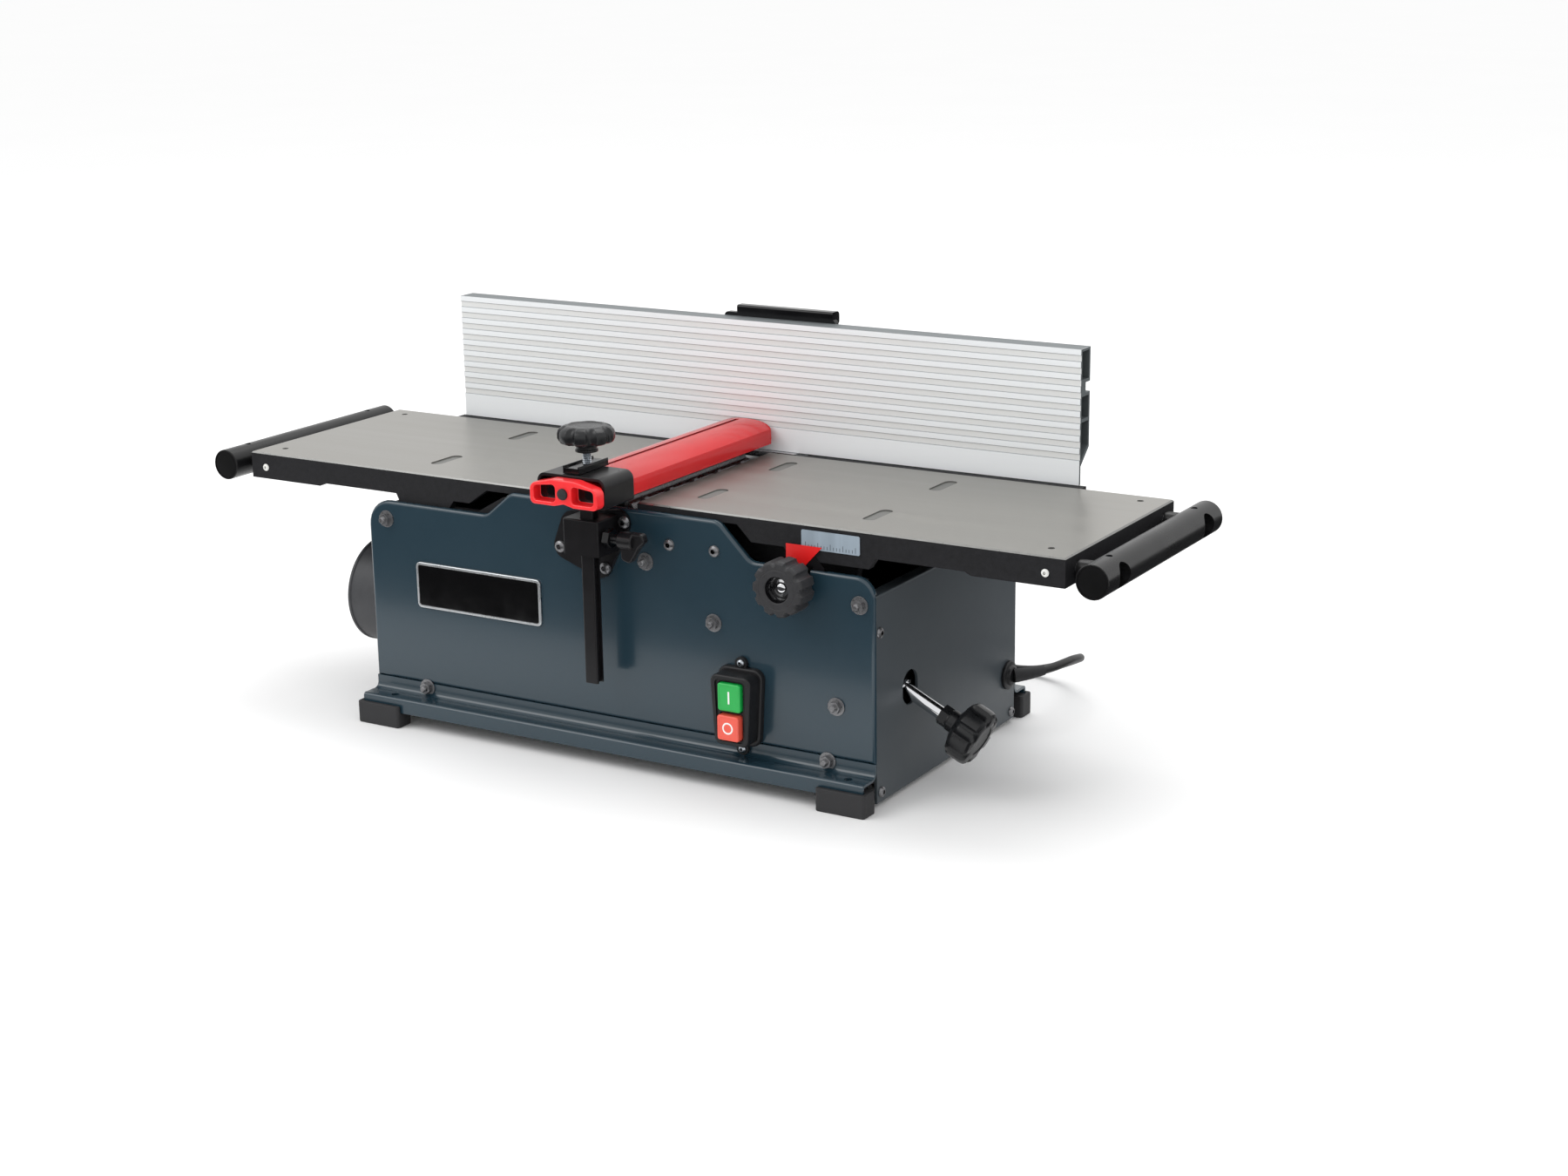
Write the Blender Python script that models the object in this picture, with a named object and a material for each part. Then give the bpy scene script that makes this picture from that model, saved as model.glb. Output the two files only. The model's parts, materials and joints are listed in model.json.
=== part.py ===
"""Benchtop jointer (surface planer) built as named sub-parts.

Sizes are in millimetres in the constants and are scaled to metres when a mesh is made.
X runs along the tables, Y from front to back, Z up. Here Y = 0 is the tables' front edge;
every mesh is shifted once, in add_part, so that the finished machine stands centred on the
world origin with its feet on Z = 0. Run it in Blender 4.5, with or without a window.
"""
import math

import bmesh
import bpy
from mathutils import Matrix, Vector

MM = 0.001
GAP = 0.3                                # air left between pieces that touch

# ---- driving dimensions -------------------------------------------------------------
TABLE_TOP = 240.0
TABLE_HALF = 425.5                       # half the length over both tables
TABLE_DEPTH = 222.0
TABLE_SKIN = 8.0
SKIRT_BOTTOM = 215.0
MOUTH_HALF = 22.5                        # half the opening between the tables
CUTTER_X = -4.0
CUTTER_R = 29.5
CUTTER_Z = TABLE_TOP - CUTTER_R
INCLINE = math.radians(26.0)             # slope of the infeed ways and of the depth screw

CASE_LEFT = -281.0
CASE_RIGHT = 256.0
CASE_FRONT = -5.0
CASE_REAR = 265.0
SHEET = 2.5
FLANGE_TOP = 28.0
FLANGE_REACH = 22.0
WALL_FRONT = (1.0, 9.0)                  # the base casting's two long walls, in Y
WALL_REAR = (213.0, 221.0)

BAR_X = 452.0                            # pull-out support bars at both ends
BAR_R = 14.5
BAR_Z = TABLE_TOP - BAR_R
BAR_Y = (-8.0, 232.0)
ROD_R = 6.0
ROD_Y = (24.0, 202.0)
ROD_INNER_X = 215.0

GUARD_X = -12.0
GUARD_HALF = 34.0
GUARD_BOTTOM = TABLE_TOP + 9.0
GUARD_TOP = GUARD_BOTTOM + 20.0
SLEEVE_Y = (-58.0, -14.0)
POST_Y = (-35.0, -24.5)
POST_HALF = 6.6
POST_BOTTOM = 80.0
CAP_FRONT = -70.0

FENCE_FRONT = 230.0
FENCE_LEFT = -345.5
FENCE_RIGHT = 332.5
FENCE_DEPTH = 20.0
FENCE_BOTTOM = TABLE_TOP + GAP
FENCE_TOP = TABLE_TOP + 121.7
HINGE_Y = 238.5
HINGE_Z = 246.8
ARM_X = (15.0 - 34.0, 15.0 + 34.0)       # the fence carriage's front part, in X
RAIL_X = (-15.0, 45.0)
KNUCKLE_R = 4.4
PIN_R = 2.4
TILT_CLAMP = (30.0, 262.0)               # (x, y) of the tilt lever's screw
GUARD_END = 227.4                        # the guard's far end, clear of the tilting fence
RAIL_TOP = TABLE_TOP + 0.1
RAIL_REAR = 412.0

SCREW_Y = 57.6                           # depth screw: a line in the plane Y = SCREW_Y
SCREW_AT = (256.0, 87.0)                 # (x, z) where it leaves the end panel
KNOB_LOCK = (181.0, 191.0)               # (x, z) of the infeed lock knob
MOTOR_AT = (110.0, 80.0)
PORT_AT = (70.0, 100.0)                  # (y, z) of the dust port
GLAND_AT = (248.0, 49.0)                 # (y, z) of the cord gland

CORD_R = 4.0
CORD_REST = CORD_R + 0.2                 # height of a cord that lies on the floor
COIL_AT = (150.0, 348.0)                 # (x, y) of the coil on the floor behind the machine
COIL_R = 40.0                            # mean radius of its turns

Y_MID = (CAP_FRONT + RAIL_REAR) / 2.0    # mid-depth of the whole machine

MATERIALS = {
    "case_paint": ((0.035, 0.075, 0.095), 0.30, 0.0),
    "end_paint": ((0.075, 0.085, 0.095), 0.45, 0.0),
    "cast_black": ((0.03, 0.03, 0.032), 0.6, 0.2),
    "table_iron": ((0.36, 0.35, 0.33), 0.35, 0.9),
    "black_steel": ((0.02, 0.02, 0.022), 0.35, 0.4),
    "bright_steel": ((0.62, 0.62, 0.63), 0.2, 1.0),
    "anodised": ((0.78, 0.79, 0.80), 0.38, 0.8),
    "black_plastic": ((0.018, 0.018, 0.02), 0.42, 0.0),
    "guard_red": ((0.62, 0.012, 0.018), 0.2, 0.0),
    "rubber": ((0.03, 0.03, 0.03), 0.85, 0.0),
    "green": ((0.02, 0.42, 0.08), 0.4, 0.0),
    "red_button": ((0.68, 0.06, 0.04), 0.4, 0.0),
    "badge": ((0.01, 0.01, 0.011), 0.15, 0.0),
    "scale_tin": ((0.55, 0.57, 0.58), 0.3, 0.9),
    "motor_grey": ((0.16, 0.17, 0.18), 0.5, 0.6),
    "cord_black": ((0.02, 0.02, 0.02), 0.6, 0.0),
}


# ---- small builders -----------------------------------------------------------------
def clear_scene():
    for obj in list(bpy.data.objects):
        bpy.data.objects.remove(obj, do_unlink=True)


def new_collection(name):
    made = bpy.data.collections.new(name)
    bpy.context.scene.collection.children.link(made)
    return made


def make_materials():
    for name, (color, rough, metal) in MATERIALS.items():
        mat = bpy.data.materials.new(name)
        mat.use_nodes = True
        shader = mat.node_tree.nodes["Principled BSDF"]
        shader.inputs["Base Color"].default_value = (*color, 1.0)
        shader.inputs["Roughness"].default_value = rough
        shader.inputs["Metallic"].default_value = metal
        mat.diffuse_color = (*color, 1.0)


def to_world(bm):
    """Scale a millimetre mesh to metres and centre the machine's depth on Y = 0."""
    bmesh.ops.recalc_face_normals(bm, faces=bm.faces)
    bmesh.ops.transform(bm, matrix=Matrix.Translation((0, -Y_MID, 0)), verts=bm.verts)
    bmesh.ops.scale(bm, vec=(MM, MM, MM), verts=bm.verts)


def add_part(name, bm, material):
    to_world(bm)
    mesh = bpy.data.meshes.new(name)
    bm.to_mesh(mesh)
    bm.free()
    obj = bpy.data.objects.new(name, mesh)
    obj.data.materials.append(bpy.data.materials[material])
    PARTS.objects.link(obj)
    return obj


def add_tool(part, bm, operation):
    to_world(bm)
    mesh = bpy.data.meshes.new(part.name + "_tool")
    bm.to_mesh(mesh)
    bm.free()
    tool = bpy.data.objects.new(part.name + "_tool", mesh)
    tool.hide_render = True
    tool.display_type = "WIRE"
    TOOLS.objects.link(tool)
    mod = part.modifiers.new(operation.lower(), "BOOLEAN")
    mod.operation = operation
    mod.solver = "EXACT"
    mod.object = tool


def cut(part, *meshes):
    for bm in meshes:
        add_tool(part, bm, "DIFFERENCE")


def join(part, *meshes):
    for bm in meshes:
        add_tool(part, bm, "UNION")


def keep_inside(part, bm):
    add_tool(part, bm, "INTERSECT")


def box(low, high):
    bm = bmesh.new()
    bmesh.ops.create_cube(bm, size=1.0)
    size = Vector(high) - Vector(low)
    bmesh.ops.scale(bm, vec=size, verts=bm.verts)
    middle = (Vector(high) + Vector(low)) / 2
    bmesh.ops.translate(bm, vec=middle, verts=bm.verts)
    return bm


def place(axis, u, v, w):
    """(u, v) in the plane across an axis and w along it, as x, y, z."""
    return {"X": (w, u, v), "Y": (u, w, v), "Z": (u, v, w)}[axis]


def prism(outline, axis, start, end):
    bm = bmesh.new()
    first = [bm.verts.new(place(axis, u, v, start)) for u, v in outline]
    last = [bm.verts.new(place(axis, u, v, end)) for u, v in outline]
    bm.faces.new(first)
    bm.faces.new(last)
    for i in range(len(outline)):
        j = (i + 1) % len(outline)
        bm.faces.new((first[i], first[j], last[j], last[i]))
    return bm


def rounded(corners, steps=4):
    """Outline from (u, v, radius) corners; a radius of 0 stays sharp."""
    out = []
    count = len(corners)
    for i, (u, v, radius) in enumerate(corners):
        if not radius:
            out.append((u, v))
            continue
        here = Vector((u, v))
        before = (Vector(corners[i - 1][:2]) - here).normalized()
        after = (Vector(corners[(i + 1) % count][:2]) - here).normalized()
        half = before.angle(after) / 2
        reach = radius / math.tan(half)
        middle = here + (before + after).normalized() * radius / math.sin(half)
        start = here + before * reach - middle
        end = here + after * reach - middle
        turn = start.angle_signed(end)
        for k in range(steps + 1):
            spoke = start.copy()
            spoke.rotate(Matrix.Rotation(-turn * k / steps, 2))
            out.append(tuple(middle + spoke))
    return out


def rectangle(u0, v0, u1, v1, radius=0.0, steps=4):
    corners = [(u0, v0), (u1, v0), (u1, v1), (u0, v1)]
    return rounded([(u, v, radius) for u, v in corners], steps)


def circle(u, v, radius, segments=24):
    turn = 2 * math.pi / segments
    return [(u + radius * math.cos(turn * (i + 0.5)), v + radius * math.sin(turn * (i + 0.5)))
            for i in range(segments)]


def disc(axis, u, v, radius, start, end, segments=24):
    return prism(circle(u, v, radius, segments), axis, start, end)


def turned(profile, at, direction, segments=24, shape=None):
    """Turn (radius, height) points about a line; shape(angle, radius) may flute the rim."""
    bm = bmesh.new()
    rings = []
    for radius, height in profile:
        ring = []
        for i in range(segments):
            angle = 2 * math.pi * i / segments
            reach = shape(angle, radius) if shape else radius
            ring.append(bm.verts.new((reach * math.cos(angle), reach * math.sin(angle), height)))
        rings.append(ring)
    for low, high in zip(rings, rings[1:]):
        for i in range(segments):
            j = (i + 1) % segments
            bm.faces.new((low[i], low[j], high[j], high[i]))
    bm.faces.new(rings[0])
    bm.faces.new(rings[-1])
    aim(bm, at, direction)
    return bm


def ring(inner, outer, length, at, direction, segments=24):
    """A plain bush: two radii and a length along a line."""
    bm = bmesh.new()
    rows = []
    for radius, height in ((inner, 0), (outer, 0), (outer, length), (inner, length)):
        row = []
        for i in range(segments):
            angle = 2 * math.pi * i / segments
            row.append(bm.verts.new((radius * math.cos(angle), radius * math.sin(angle), height)))
        rows.append(row)
    for k in range(4):
        low, high = rows[k], rows[(k + 1) % 4]
        for i in range(segments):
            j = (i + 1) % segments
            bm.faces.new((low[i], low[j], high[j], high[i]))
    aim(bm, at, direction)
    return bm


def aim(bm, at, direction):
    turn = Vector(direction).to_track_quat("Z", "Y").to_matrix().to_4x4()
    bmesh.ops.transform(bm, matrix=Matrix.Translation(at) @ turn, verts=bm.verts)


def flutes(count, depth):
    """Rim shape of a hand knob: shallow round scallops between broad lobes."""
    def shape(angle, radius):
        if radius < 12.0:
            return radius
        wave = max(0.0, math.cos(count * angle)) ** 0.7
        return radius - depth * wave
    return shape


# ---- sheet-metal case ---------------------------------------------------------------
def panel_outline():
    return rounded([
        (CASE_LEFT, 30, 0), (CASE_RIGHT, 30, 0), (CASE_RIGHT, 202, 18), (136, 202, 14),
        (104, 234, 14), (-116, 234, 12), (-144, 211, 14), (CASE_LEFT, 211, 25)])


def long_flange(panel, front):
    """The foot flange: bent outwards, then down to a lip."""
    out = -1 if front else 1
    face = CASE_FRONT if front else CASE_REAR
    rim = face + out * FLANGE_REACH
    inner = face - out * (SHEET - 0.4)
    profile = [(inner, FLANGE_TOP - SHEET), (inner, FLANGE_TOP + 5), (face - out * 0.4, FLANGE_TOP + 5),
               (face - out * 0.4, FLANGE_TOP), (rim, FLANGE_TOP), (rim, 14),
               (rim - out * SHEET, 14), (rim - out * SHEET, FLANGE_TOP - SHEET)]
    join(panel, prism(profile, "X", CASE_LEFT, CASE_RIGHT))
    for x in (-250.8, 236.8):
        middle = face + out * 12
        cut(panel, disc("Z", x, middle, 4.0, FLANGE_TOP - 6, FLANGE_TOP + 3, 16))


def front_panel():
    shell = prism(panel_outline(), "Y", CASE_FRONT, CASE_FRONT + SHEET)
    panel = add_part("front_panel", shell, "case_paint")
    long_flange(panel, True)
    x, z = KNOB_LOCK
    notch = rectangle(x - 6.5, z - 10, x + 13.5, z + 30, 6.0)
    cut(panel, prism(notch, "Y", CASE_FRONT - 2, CASE_FRONT + SHEET + 2))


def rear_panel():
    outline = rounded([
        (CASE_LEFT, 30, 0), (CASE_RIGHT, 30, 0), (CASE_RIGHT, 187, 18), (128, 187, 14),
        (92, 226, 14), (-62, 226, 14), (-98, 187, 14), (CASE_LEFT, 187, 18)])
    shell = prism(outline, "Y", CASE_REAR - SHEET, CASE_REAR)
    panel = add_part("rear_panel", shell, "case_paint")
    long_flange(panel, False)


def end_panel(name, right):
    out = 1 if right else -1
    face = CASE_RIGHT if right else CASE_LEFT
    profile = [(face, 4), (face, 187), (face - out * 12, 187), (face - out * 12, 187 - SHEET),
               (face - out * SHEET, 187 - SHEET), (face - out * SHEET, 4)]
    y0 = CASE_FRONT + SHEET + GAP
    y1 = CASE_REAR - SHEET - GAP
    panel = add_part(name, prism(profile, "Y", y0, y1), "end_paint")
    if right:
        hole = rectangle(SCREW_Y - 13.5, 76, SCREW_Y + 13.5, 107, 13.4, 6)
        cut(panel, prism(hole, "X", face - 6, face + 3))
    else:
        y, z = PORT_AT
        cut(panel, disc("X", y, z, 46, face - 3, face + 6, 32))


def foot(name, left, front):
    """Rubber corner pad that grips the flange's lip."""
    side = -1 if left else 1
    out = -1 if front else 1
    corner_x = CASE_LEFT if left else CASE_RIGHT
    rim = (CASE_FRONT if front else CASE_REAR) + out * FLANGE_REACH
    xs = sorted((corner_x + side * 4, corner_x - side * 44))
    ys = sorted((rim + out * 5, rim - out * 15))
    pad = add_part(name, prism(rectangle(xs[0], ys[0], xs[1], ys[1], 3), "Z", 0, 21), "rubber")
    slot_x = sorted((corner_x + side * GAP, corner_x - side * 50))
    slot_y = sorted((rim + out * GAP, rim - out * (SHEET + GAP)))
    cut(pad, box((slot_x[0], slot_y[0], 14 - GAP), (slot_x[1], slot_y[1], 30)))


def wall_outline():
    return [(-266, 24), (243, 24), (243, 198), (128, 198), (95, 227.5), (-128, 227.5),
            (-158, 210.6), (-252, 210.6), (-266, 192)]


def base_frame():
    """Casting with two long walls, a floor and an end web that holds the depth screw."""
    casting = add_part("base_frame", prism(wall_outline(), "Y", *WALL_FRONT), "cast_black")
    join(casting, box((40, 5, 24.5), (242.5, 217, 30)))
    join(casting, prism(wall_outline(), "Y", *WALL_REAR))
    join(casting, box((235, 4, 26), (242.6, 218, 150)))
    bore = disc("Y", CUTTER_X, CUTTER_Z, 15 + GAP, -2, 224, 32)
    x, z = MOTOR_AT
    cut(casting, bore, disc("Y", x, z, 14, 210, 224))
    cut(casting, inclined_rod(-40, 0, 5.5))
    sx, sz = KNOB_LOCK
    notch = rectangle(sx - 6.5, sz - 10, sx + 13.5, sz + 30, 6.0)
    cut(casting, prism(notch, "Y", -2, 11))


def incline_point(distance):
    """Point on the depth screw's axis, measured outwards from the end panel."""
    x, z = SCREW_AT
    return (x + distance * math.cos(INCLINE), SCREW_Y, z - distance * math.sin(INCLINE))


def incline_axis():
    return (math.cos(INCLINE), 0.0, -math.sin(INCLINE))


def inclined_rod(start, end, radius, segments=16):
    profile = [(radius, 0), (radius, end - start)]
    return turned(profile, incline_point(start), incline_axis(), segments)


def way_height(x):
    """Height of the infeed ways' upper face."""
    return 222.0 - (x - 60.0) * math.tan(INCLINE)


def infeed_way(name, y0, y1):
    run = Vector((math.cos(INCLINE), -math.sin(INCLINE)))
    down = Vector((-math.sin(INCLINE), -math.cos(INCLINE)))
    top = Vector((60, way_height(60)))
    outline = [top, top + run * 155, top + run * 155 + down * 14, top + down * 14]
    add_part(name, prism([tuple(p) for p in outline], "Y", y0, y1), "black_steel")


# ---- tables -------------------------------------------------------------------------
def table_pockets(table, xs, hole_x):
    for x in xs:
        for y in (56, 176):
            slot = rectangle(x - 6, y - 20, x + 6, y + 20, 5.9, 4)
            cut(table, prism(slot, "Z", TABLE_TOP - 3, TABLE_TOP + 2))
    for y in (24, 204):
        cut(table, disc("Z", hole_x, y, 3.0, TABLE_TOP - 5, TABLE_TOP + 2, 12))


def rod_bosses(table, side):
    x0, x1 = sorted((side * 396, side * (TABLE_HALF - 2)))
    for y in ROD_Y:
        join(table, box((x0, y - 9.5, SKIRT_BOTTOM + 1), (x1, y + 9.5, TABLE_TOP - 5)))
    for y in ROD_Y:
        a, b = sorted((side * 390, side * (TABLE_HALF + 3)))
        cut(table, disc("X", y, BAR_Z, ROD_R + 0.15, a, b, 16))


def outfeed_table():
    inner = CUTTER_X - MOUTH_HALF
    slab = box((-TABLE_HALF, 0, TABLE_TOP - TABLE_SKIN), (inner, TABLE_DEPTH, TABLE_TOP))
    table = add_part("outfeed_table", slab, "table_iron")
    skirt = [(-TABLE_HALF, SKIRT_BOTTOM), (-342, SKIRT_BOTTOM), (-336, 218), (-250.5, 218),
             (-250.5, 211), (-186, 211), (-184, 218), (-166, 218), (-140, 236),
             (-TABLE_HALF, 236)]
    join(table, prism(skirt, "Y", 0, 8))
    join(table, prism(skirt, "Y", TABLE_DEPTH - 8, TABLE_DEPTH))
    join(table, box((-TABLE_HALF, 4, SKIRT_BOTTOM), (-TABLE_HALF + 8, TABLE_DEPTH - 4, 236)))
    for y0, y1 in ((1.5, 8.5), (213.5, 220.5)):
        join(table, box((-112, y0, 227.5 + GAP), (-52, y1, 236)))
    rod_bosses(table, -1)
    table_pockets(table, (-234, -69), -404)


def infeed_table():
    inner = CUTTER_X + MOUTH_HALF
    slab = box((inner, 0, TABLE_TOP - TABLE_SKIN), (TABLE_HALF, TABLE_DEPTH, TABLE_TOP))
    table = add_part("infeed_table", slab, "table_iron")
    skirt = [(TABLE_HALF, SKIRT_BOTTOM), (342, SKIRT_BOTTOM), (336, 218), (250.5, 218),
             (250.5, 208.5), (171, 208.5), (166, 218), (134, 218), (116, 236),
             (TABLE_HALF, 236)]
    join(table, prism(skirt, "Y", 0, 8))
    join(table, prism(skirt, "Y", TABLE_DEPTH - 8, TABLE_DEPTH))
    join(table, box((TABLE_HALF - 8, 4, SKIRT_BOTTOM), (TABLE_HALF, TABLE_DEPTH - 4, 236)))
    lift = GAP / math.cos(INCLINE)
    rib = [(50, 236), (50, way_height(50) + lift), (198, way_height(198) + lift), (212, 156),
           (228, 236)]
    join(table, prism(rib, "Y", 32, 40), prism(rib, "Y", 182, 190))
    join(table, box((161, 50, 142.7), (179, 65, 236)))
    rod_bosses(table, 1)
    table_pockets(table, (61, 226), 402)


def support_bar(name, side):
    """Cross bar that pulls out of the table's end on two rods."""
    at = (side * BAR_X, BAR_Y[0], BAR_Z)
    tube = ring(BAR_R - 3, BAR_R, BAR_Y[1] - BAR_Y[0], at, (0, 1, 0), 28)
    bar = add_part(name, tube, "black_steel")
    for y in ROD_Y:
        inner = sorted((side * (BAR_X - 18), side * BAR_X))
        outer = sorted((side * BAR_X, side * (BAR_X + 18)))
        cut(bar, disc("X", y, BAR_Z, ROD_R + GAP, inner[0], inner[1], 16))
        cut(bar, disc("X", y, BAR_Z, 9.0, outer[0], outer[1], 20))
        cut(bar, disc("Z", side * BAR_X, y, 2.6, BAR_Z + 4, BAR_Z + 20, 12))


def support_rod(name, side, y):
    x0, x1 = sorted((side * ROD_INNER_X, side * (BAR_X + 6)))
    add_part(name, disc("X", y, BAR_Z, ROD_R, x0, x1, 16), "bright_steel")


# ---- depth of cut -------------------------------------------------------------------
def depth_scale():
    plate = rectangle(184, 219, 240, 235.5, 1.5)
    add_part("depth_scale", prism(plate, "Y", -1.0, -GAP), "scale_tin")


def depth_pointer():
    """Bent red pointer fixed behind the front panel, clear of the lock stud."""
    outline = [(170, 209), (195.5, 209), (195.5, 184), (206, 184), (206, 209), (196, 222),
               (170, 222)]
    add_part("depth_pointer", prism(outline, "Y", -2.1, -1.35), "guard_red")


def lock_stud():
    x, z = KNOB_LOCK
    add_part("lock_stud", disc("Y", x, z, 4.8, -9 + GAP, 32 - GAP, 16), "bright_steel")


def depth_lock_knob():
    x, z = KNOB_LOCK
    profile = [(11.5, 0), (11.5, 4), (23.0, 5), (24.5, 8), (24.5, 26), (22.5, 29),
               (11.4, 29), (8.0, 20)]
    knob = turned(profile, (x, -9, z), (0, -1, 0), 60, flutes(11, 2.2))
    add_part("depth_lock_knob", knob, "black_plastic")


def depth_nut():
    nut = box((159, 47.6, 112), (181, 67.6, 142.7 - GAP))
    part = add_part("depth_nut", nut, "bright_steel")
    cut(part, inclined_rod(-130, -60, 5.1 + GAP))


def depth_screw():
    """Threaded rod with a thrust collar on each side of the casting's end web."""
    start = -113.5
    profile = [(5.0, 0), (5.0, 81.5), (8.6, 81.5), (8.6, 85.5), (5.0, 85.5), (5.0, 103.5),
               (8.6, 103.5), (8.6, 107.5), (6.0, 107.5), (6.0, 147.2)]
    rod = turned(profile, incline_point(start), incline_axis(), 20)
    add_part("depth_screw", rod, "bright_steel")


def depth_adjust_knob():
    profile = [(8.5, 0), (8.5, 8), (11.0, 8), (11.0, 16), (24.0, 20), (26.0, 23), (26.0, 38),
               (23.0, 42)]
    at = incline_point(34)
    knob = turned(profile, at, incline_axis(), 60, flutes(7, 3.6))
    add_part("depth_adjust_knob", knob, "black_plastic")


# ---- guard --------------------------------------------------------------------------
def guard_post_block():
    """Clamp block with its bolted back plate."""
    low = (-33.5, -40, 197)
    high = (3.5, -8, 229)
    block = add_part("guard_post_block", box(low, high), "black_steel")
    plate = rounded([(24, 236, 12), (-12, 166, 12), (-78, 186, 12), (-60, 226, 14)])
    join(block, prism(plate, "Y", -9.3, CASE_FRONT - GAP))
    ys = (POST_Y[0] - 0.35, POST_Y[1] + 0.35)
    xs = (GUARD_X - POST_HALF - 0.35, GUARD_X + POST_HALF + 0.35)
    cut(block, box((xs[0], ys[0], 190), (xs[1], ys[1], 236)))


def guard_post():
    outline = rectangle(GUARD_X - POST_HALF, POST_Y[0], GUARD_X + POST_HALF, POST_Y[1], 1.2, 2)
    post = add_part("guard_post", prism(outline, "Z", POST_BOTTOM, 246 - GAP), "black_steel")
    x = GUARD_X + POST_HALF
    cut(post, box((x - 3.2, POST_Y[0] + 2.2, POST_BOTTOM - 2), (x + 2, POST_Y[1] - 2.0, 238)))


def guard_post_lever():
    """Clamp screw with its short wing lever, on the block's right side."""
    y = (POST_Y[0] + POST_Y[1]) / 2
    z = 213.0
    profile = [(4.0, 0), (4.0, 2), (8.0, 2), (8.0, 9), (4.5, 9), (4.5, 16), (7.5, 17),
               (7.5, 31), (5.0, 33)]
    lever = turned(profile, (3.5 + GAP, y, z), (1, 0, 0), 16)
    part = add_part("guard_post_lever", lever, "black_plastic")
    wing = rounded([(24, z + 6, 3), (46, z + 4, 3), (46, z - 4, 3), (30, z - 20, 4), (21, z - 16, 4)])
    join(part, prism(wing, "Y", y - 3.2, y + 3.8))


def guard_sleeve():
    half = GUARD_HALF + 3.2
    outer = rounded([(GUARD_X - half, 246, 2), (GUARD_X + half, 246, 2),
                     (GUARD_X + half, GUARD_TOP + 3.4, 7), (GUARD_X - half, GUARD_TOP + 3.4, 7)])
    sleeve = add_part("guard_sleeve", prism(outer, "Y", *SLEEVE_Y), "black_steel")
    room = GUARD_HALF + 0.4
    hollow = rectangle(GUARD_X - room, GUARD_BOTTOM - 0.4, GUARD_X + room, GUARD_TOP + 0.5)
    cut(sleeve, prism(hollow, "Y", SLEEVE_Y[0] - 3, SLEEVE_Y[1] + 3))


def guard_outline():
    """Shallow arched section with a groove beside the crown."""
    top = []
    for i in range(13):
        t = -1 + i / 6
        top.append((GUARD_X - t * (GUARD_HALF - 1.5), GUARD_TOP - 6.5 * abs(t) ** 2.4))
    grooved = []
    for u, v in top:
        grooved.append((u, v))
    low = GUARD_TOP - 11
    start = [(GUARD_X - GUARD_HALF, GUARD_BOTTOM), (GUARD_X + GUARD_HALF, GUARD_BOTTOM),
             (GUARD_X + GUARD_HALF, low)]
    return start + grooved + [(GUARD_X - GUARD_HALF, low)]


def guard_bar():
    bar = add_part("guard_bar", prism(guard_outline(), "Y", SLEEVE_Y[0], GUARD_END), "guard_red")
    groove = box((GUARD_X - 6, SLEEVE_Y[0] - 3, GUARD_TOP - 1.6), (GUARD_X - 3.5, 222, GUARD_TOP + 3))
    cut(bar, groove)
    plan = rounded([(GUARD_X - GUARD_HALF - 1, -80, 0), (GUARD_X + GUARD_HALF + 1, -80, 0),
                    (GUARD_X + GUARD_HALF + 1, GUARD_END, 16),
                    (GUARD_X - GUARD_HALF - 1, GUARD_END, 16)], 6)
    keep_inside(bar, prism(plan, "Z", 200, 300))


def guard_end_cap():
    """Moulded end with two finger openings."""
    half = GUARD_HALF + 3
    x = GUARD_X
    outline = rounded([(x - half, 247, 4), (x - 10, 247, 6), (x, 249.5, 6), (x + 10, 247, 6),
                       (x + half, 247, 4), (x + half, 265, 6), (x + 12, 270.5, 8),
                       (x - 12, 270.5, 8), (x - half, 265, 6)])
    cap = add_part("guard_end_cap", prism(outline, "Y", CAP_FRONT, SLEEVE_Y[0] - GAP), "guard_red")
    for side in (-1, 1):
        a, b = sorted((x + side * 9.5, x + side * (half - 4.5)))
        hole = rounded([(a, 251, 3), (b, 251, 3), (b, 263, 3), (a, 265, 3)])
        cut(cap, prism(hole, "Y", CAP_FRONT - 2, SLEEVE_Y[0] + 2))


def guard_clamp_plate():
    y0, y1 = SLEEVE_Y[0] + 4, SLEEVE_Y[1] + 4
    top = GUARD_TOP + 3.4 + GAP
    plate = add_part("guard_clamp_plate", box((GUARD_X - 8.5, y0, top), (GUARD_X + 8.5, y1, top + 5)),
                     "black_steel")
    y = (POST_Y[0] + POST_Y[1]) / 2
    cut(plate, disc("Z", GUARD_X, y, 4.3, top - 2, top + 8, 16))


def guard_clamp_knob():
    y = (POST_Y[0] + POST_Y[1]) / 2
    start = GUARD_TOP + 3.4 + GAP + 0.1
    profile = [(4.0, 0), (4.0, 15), (10.0, 15), (10.0, 22.5), (21, 23), (24.8, 27), (25.0, 33),
               (22.0, 37.5), (16.0, 38.5)]
    knob = turned(profile, (GUARD_X, y, start), (0, 0, 1), 56, flutes(8, 3.0))
    add_part("guard_clamp_knob", knob, "black_plastic")


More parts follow.
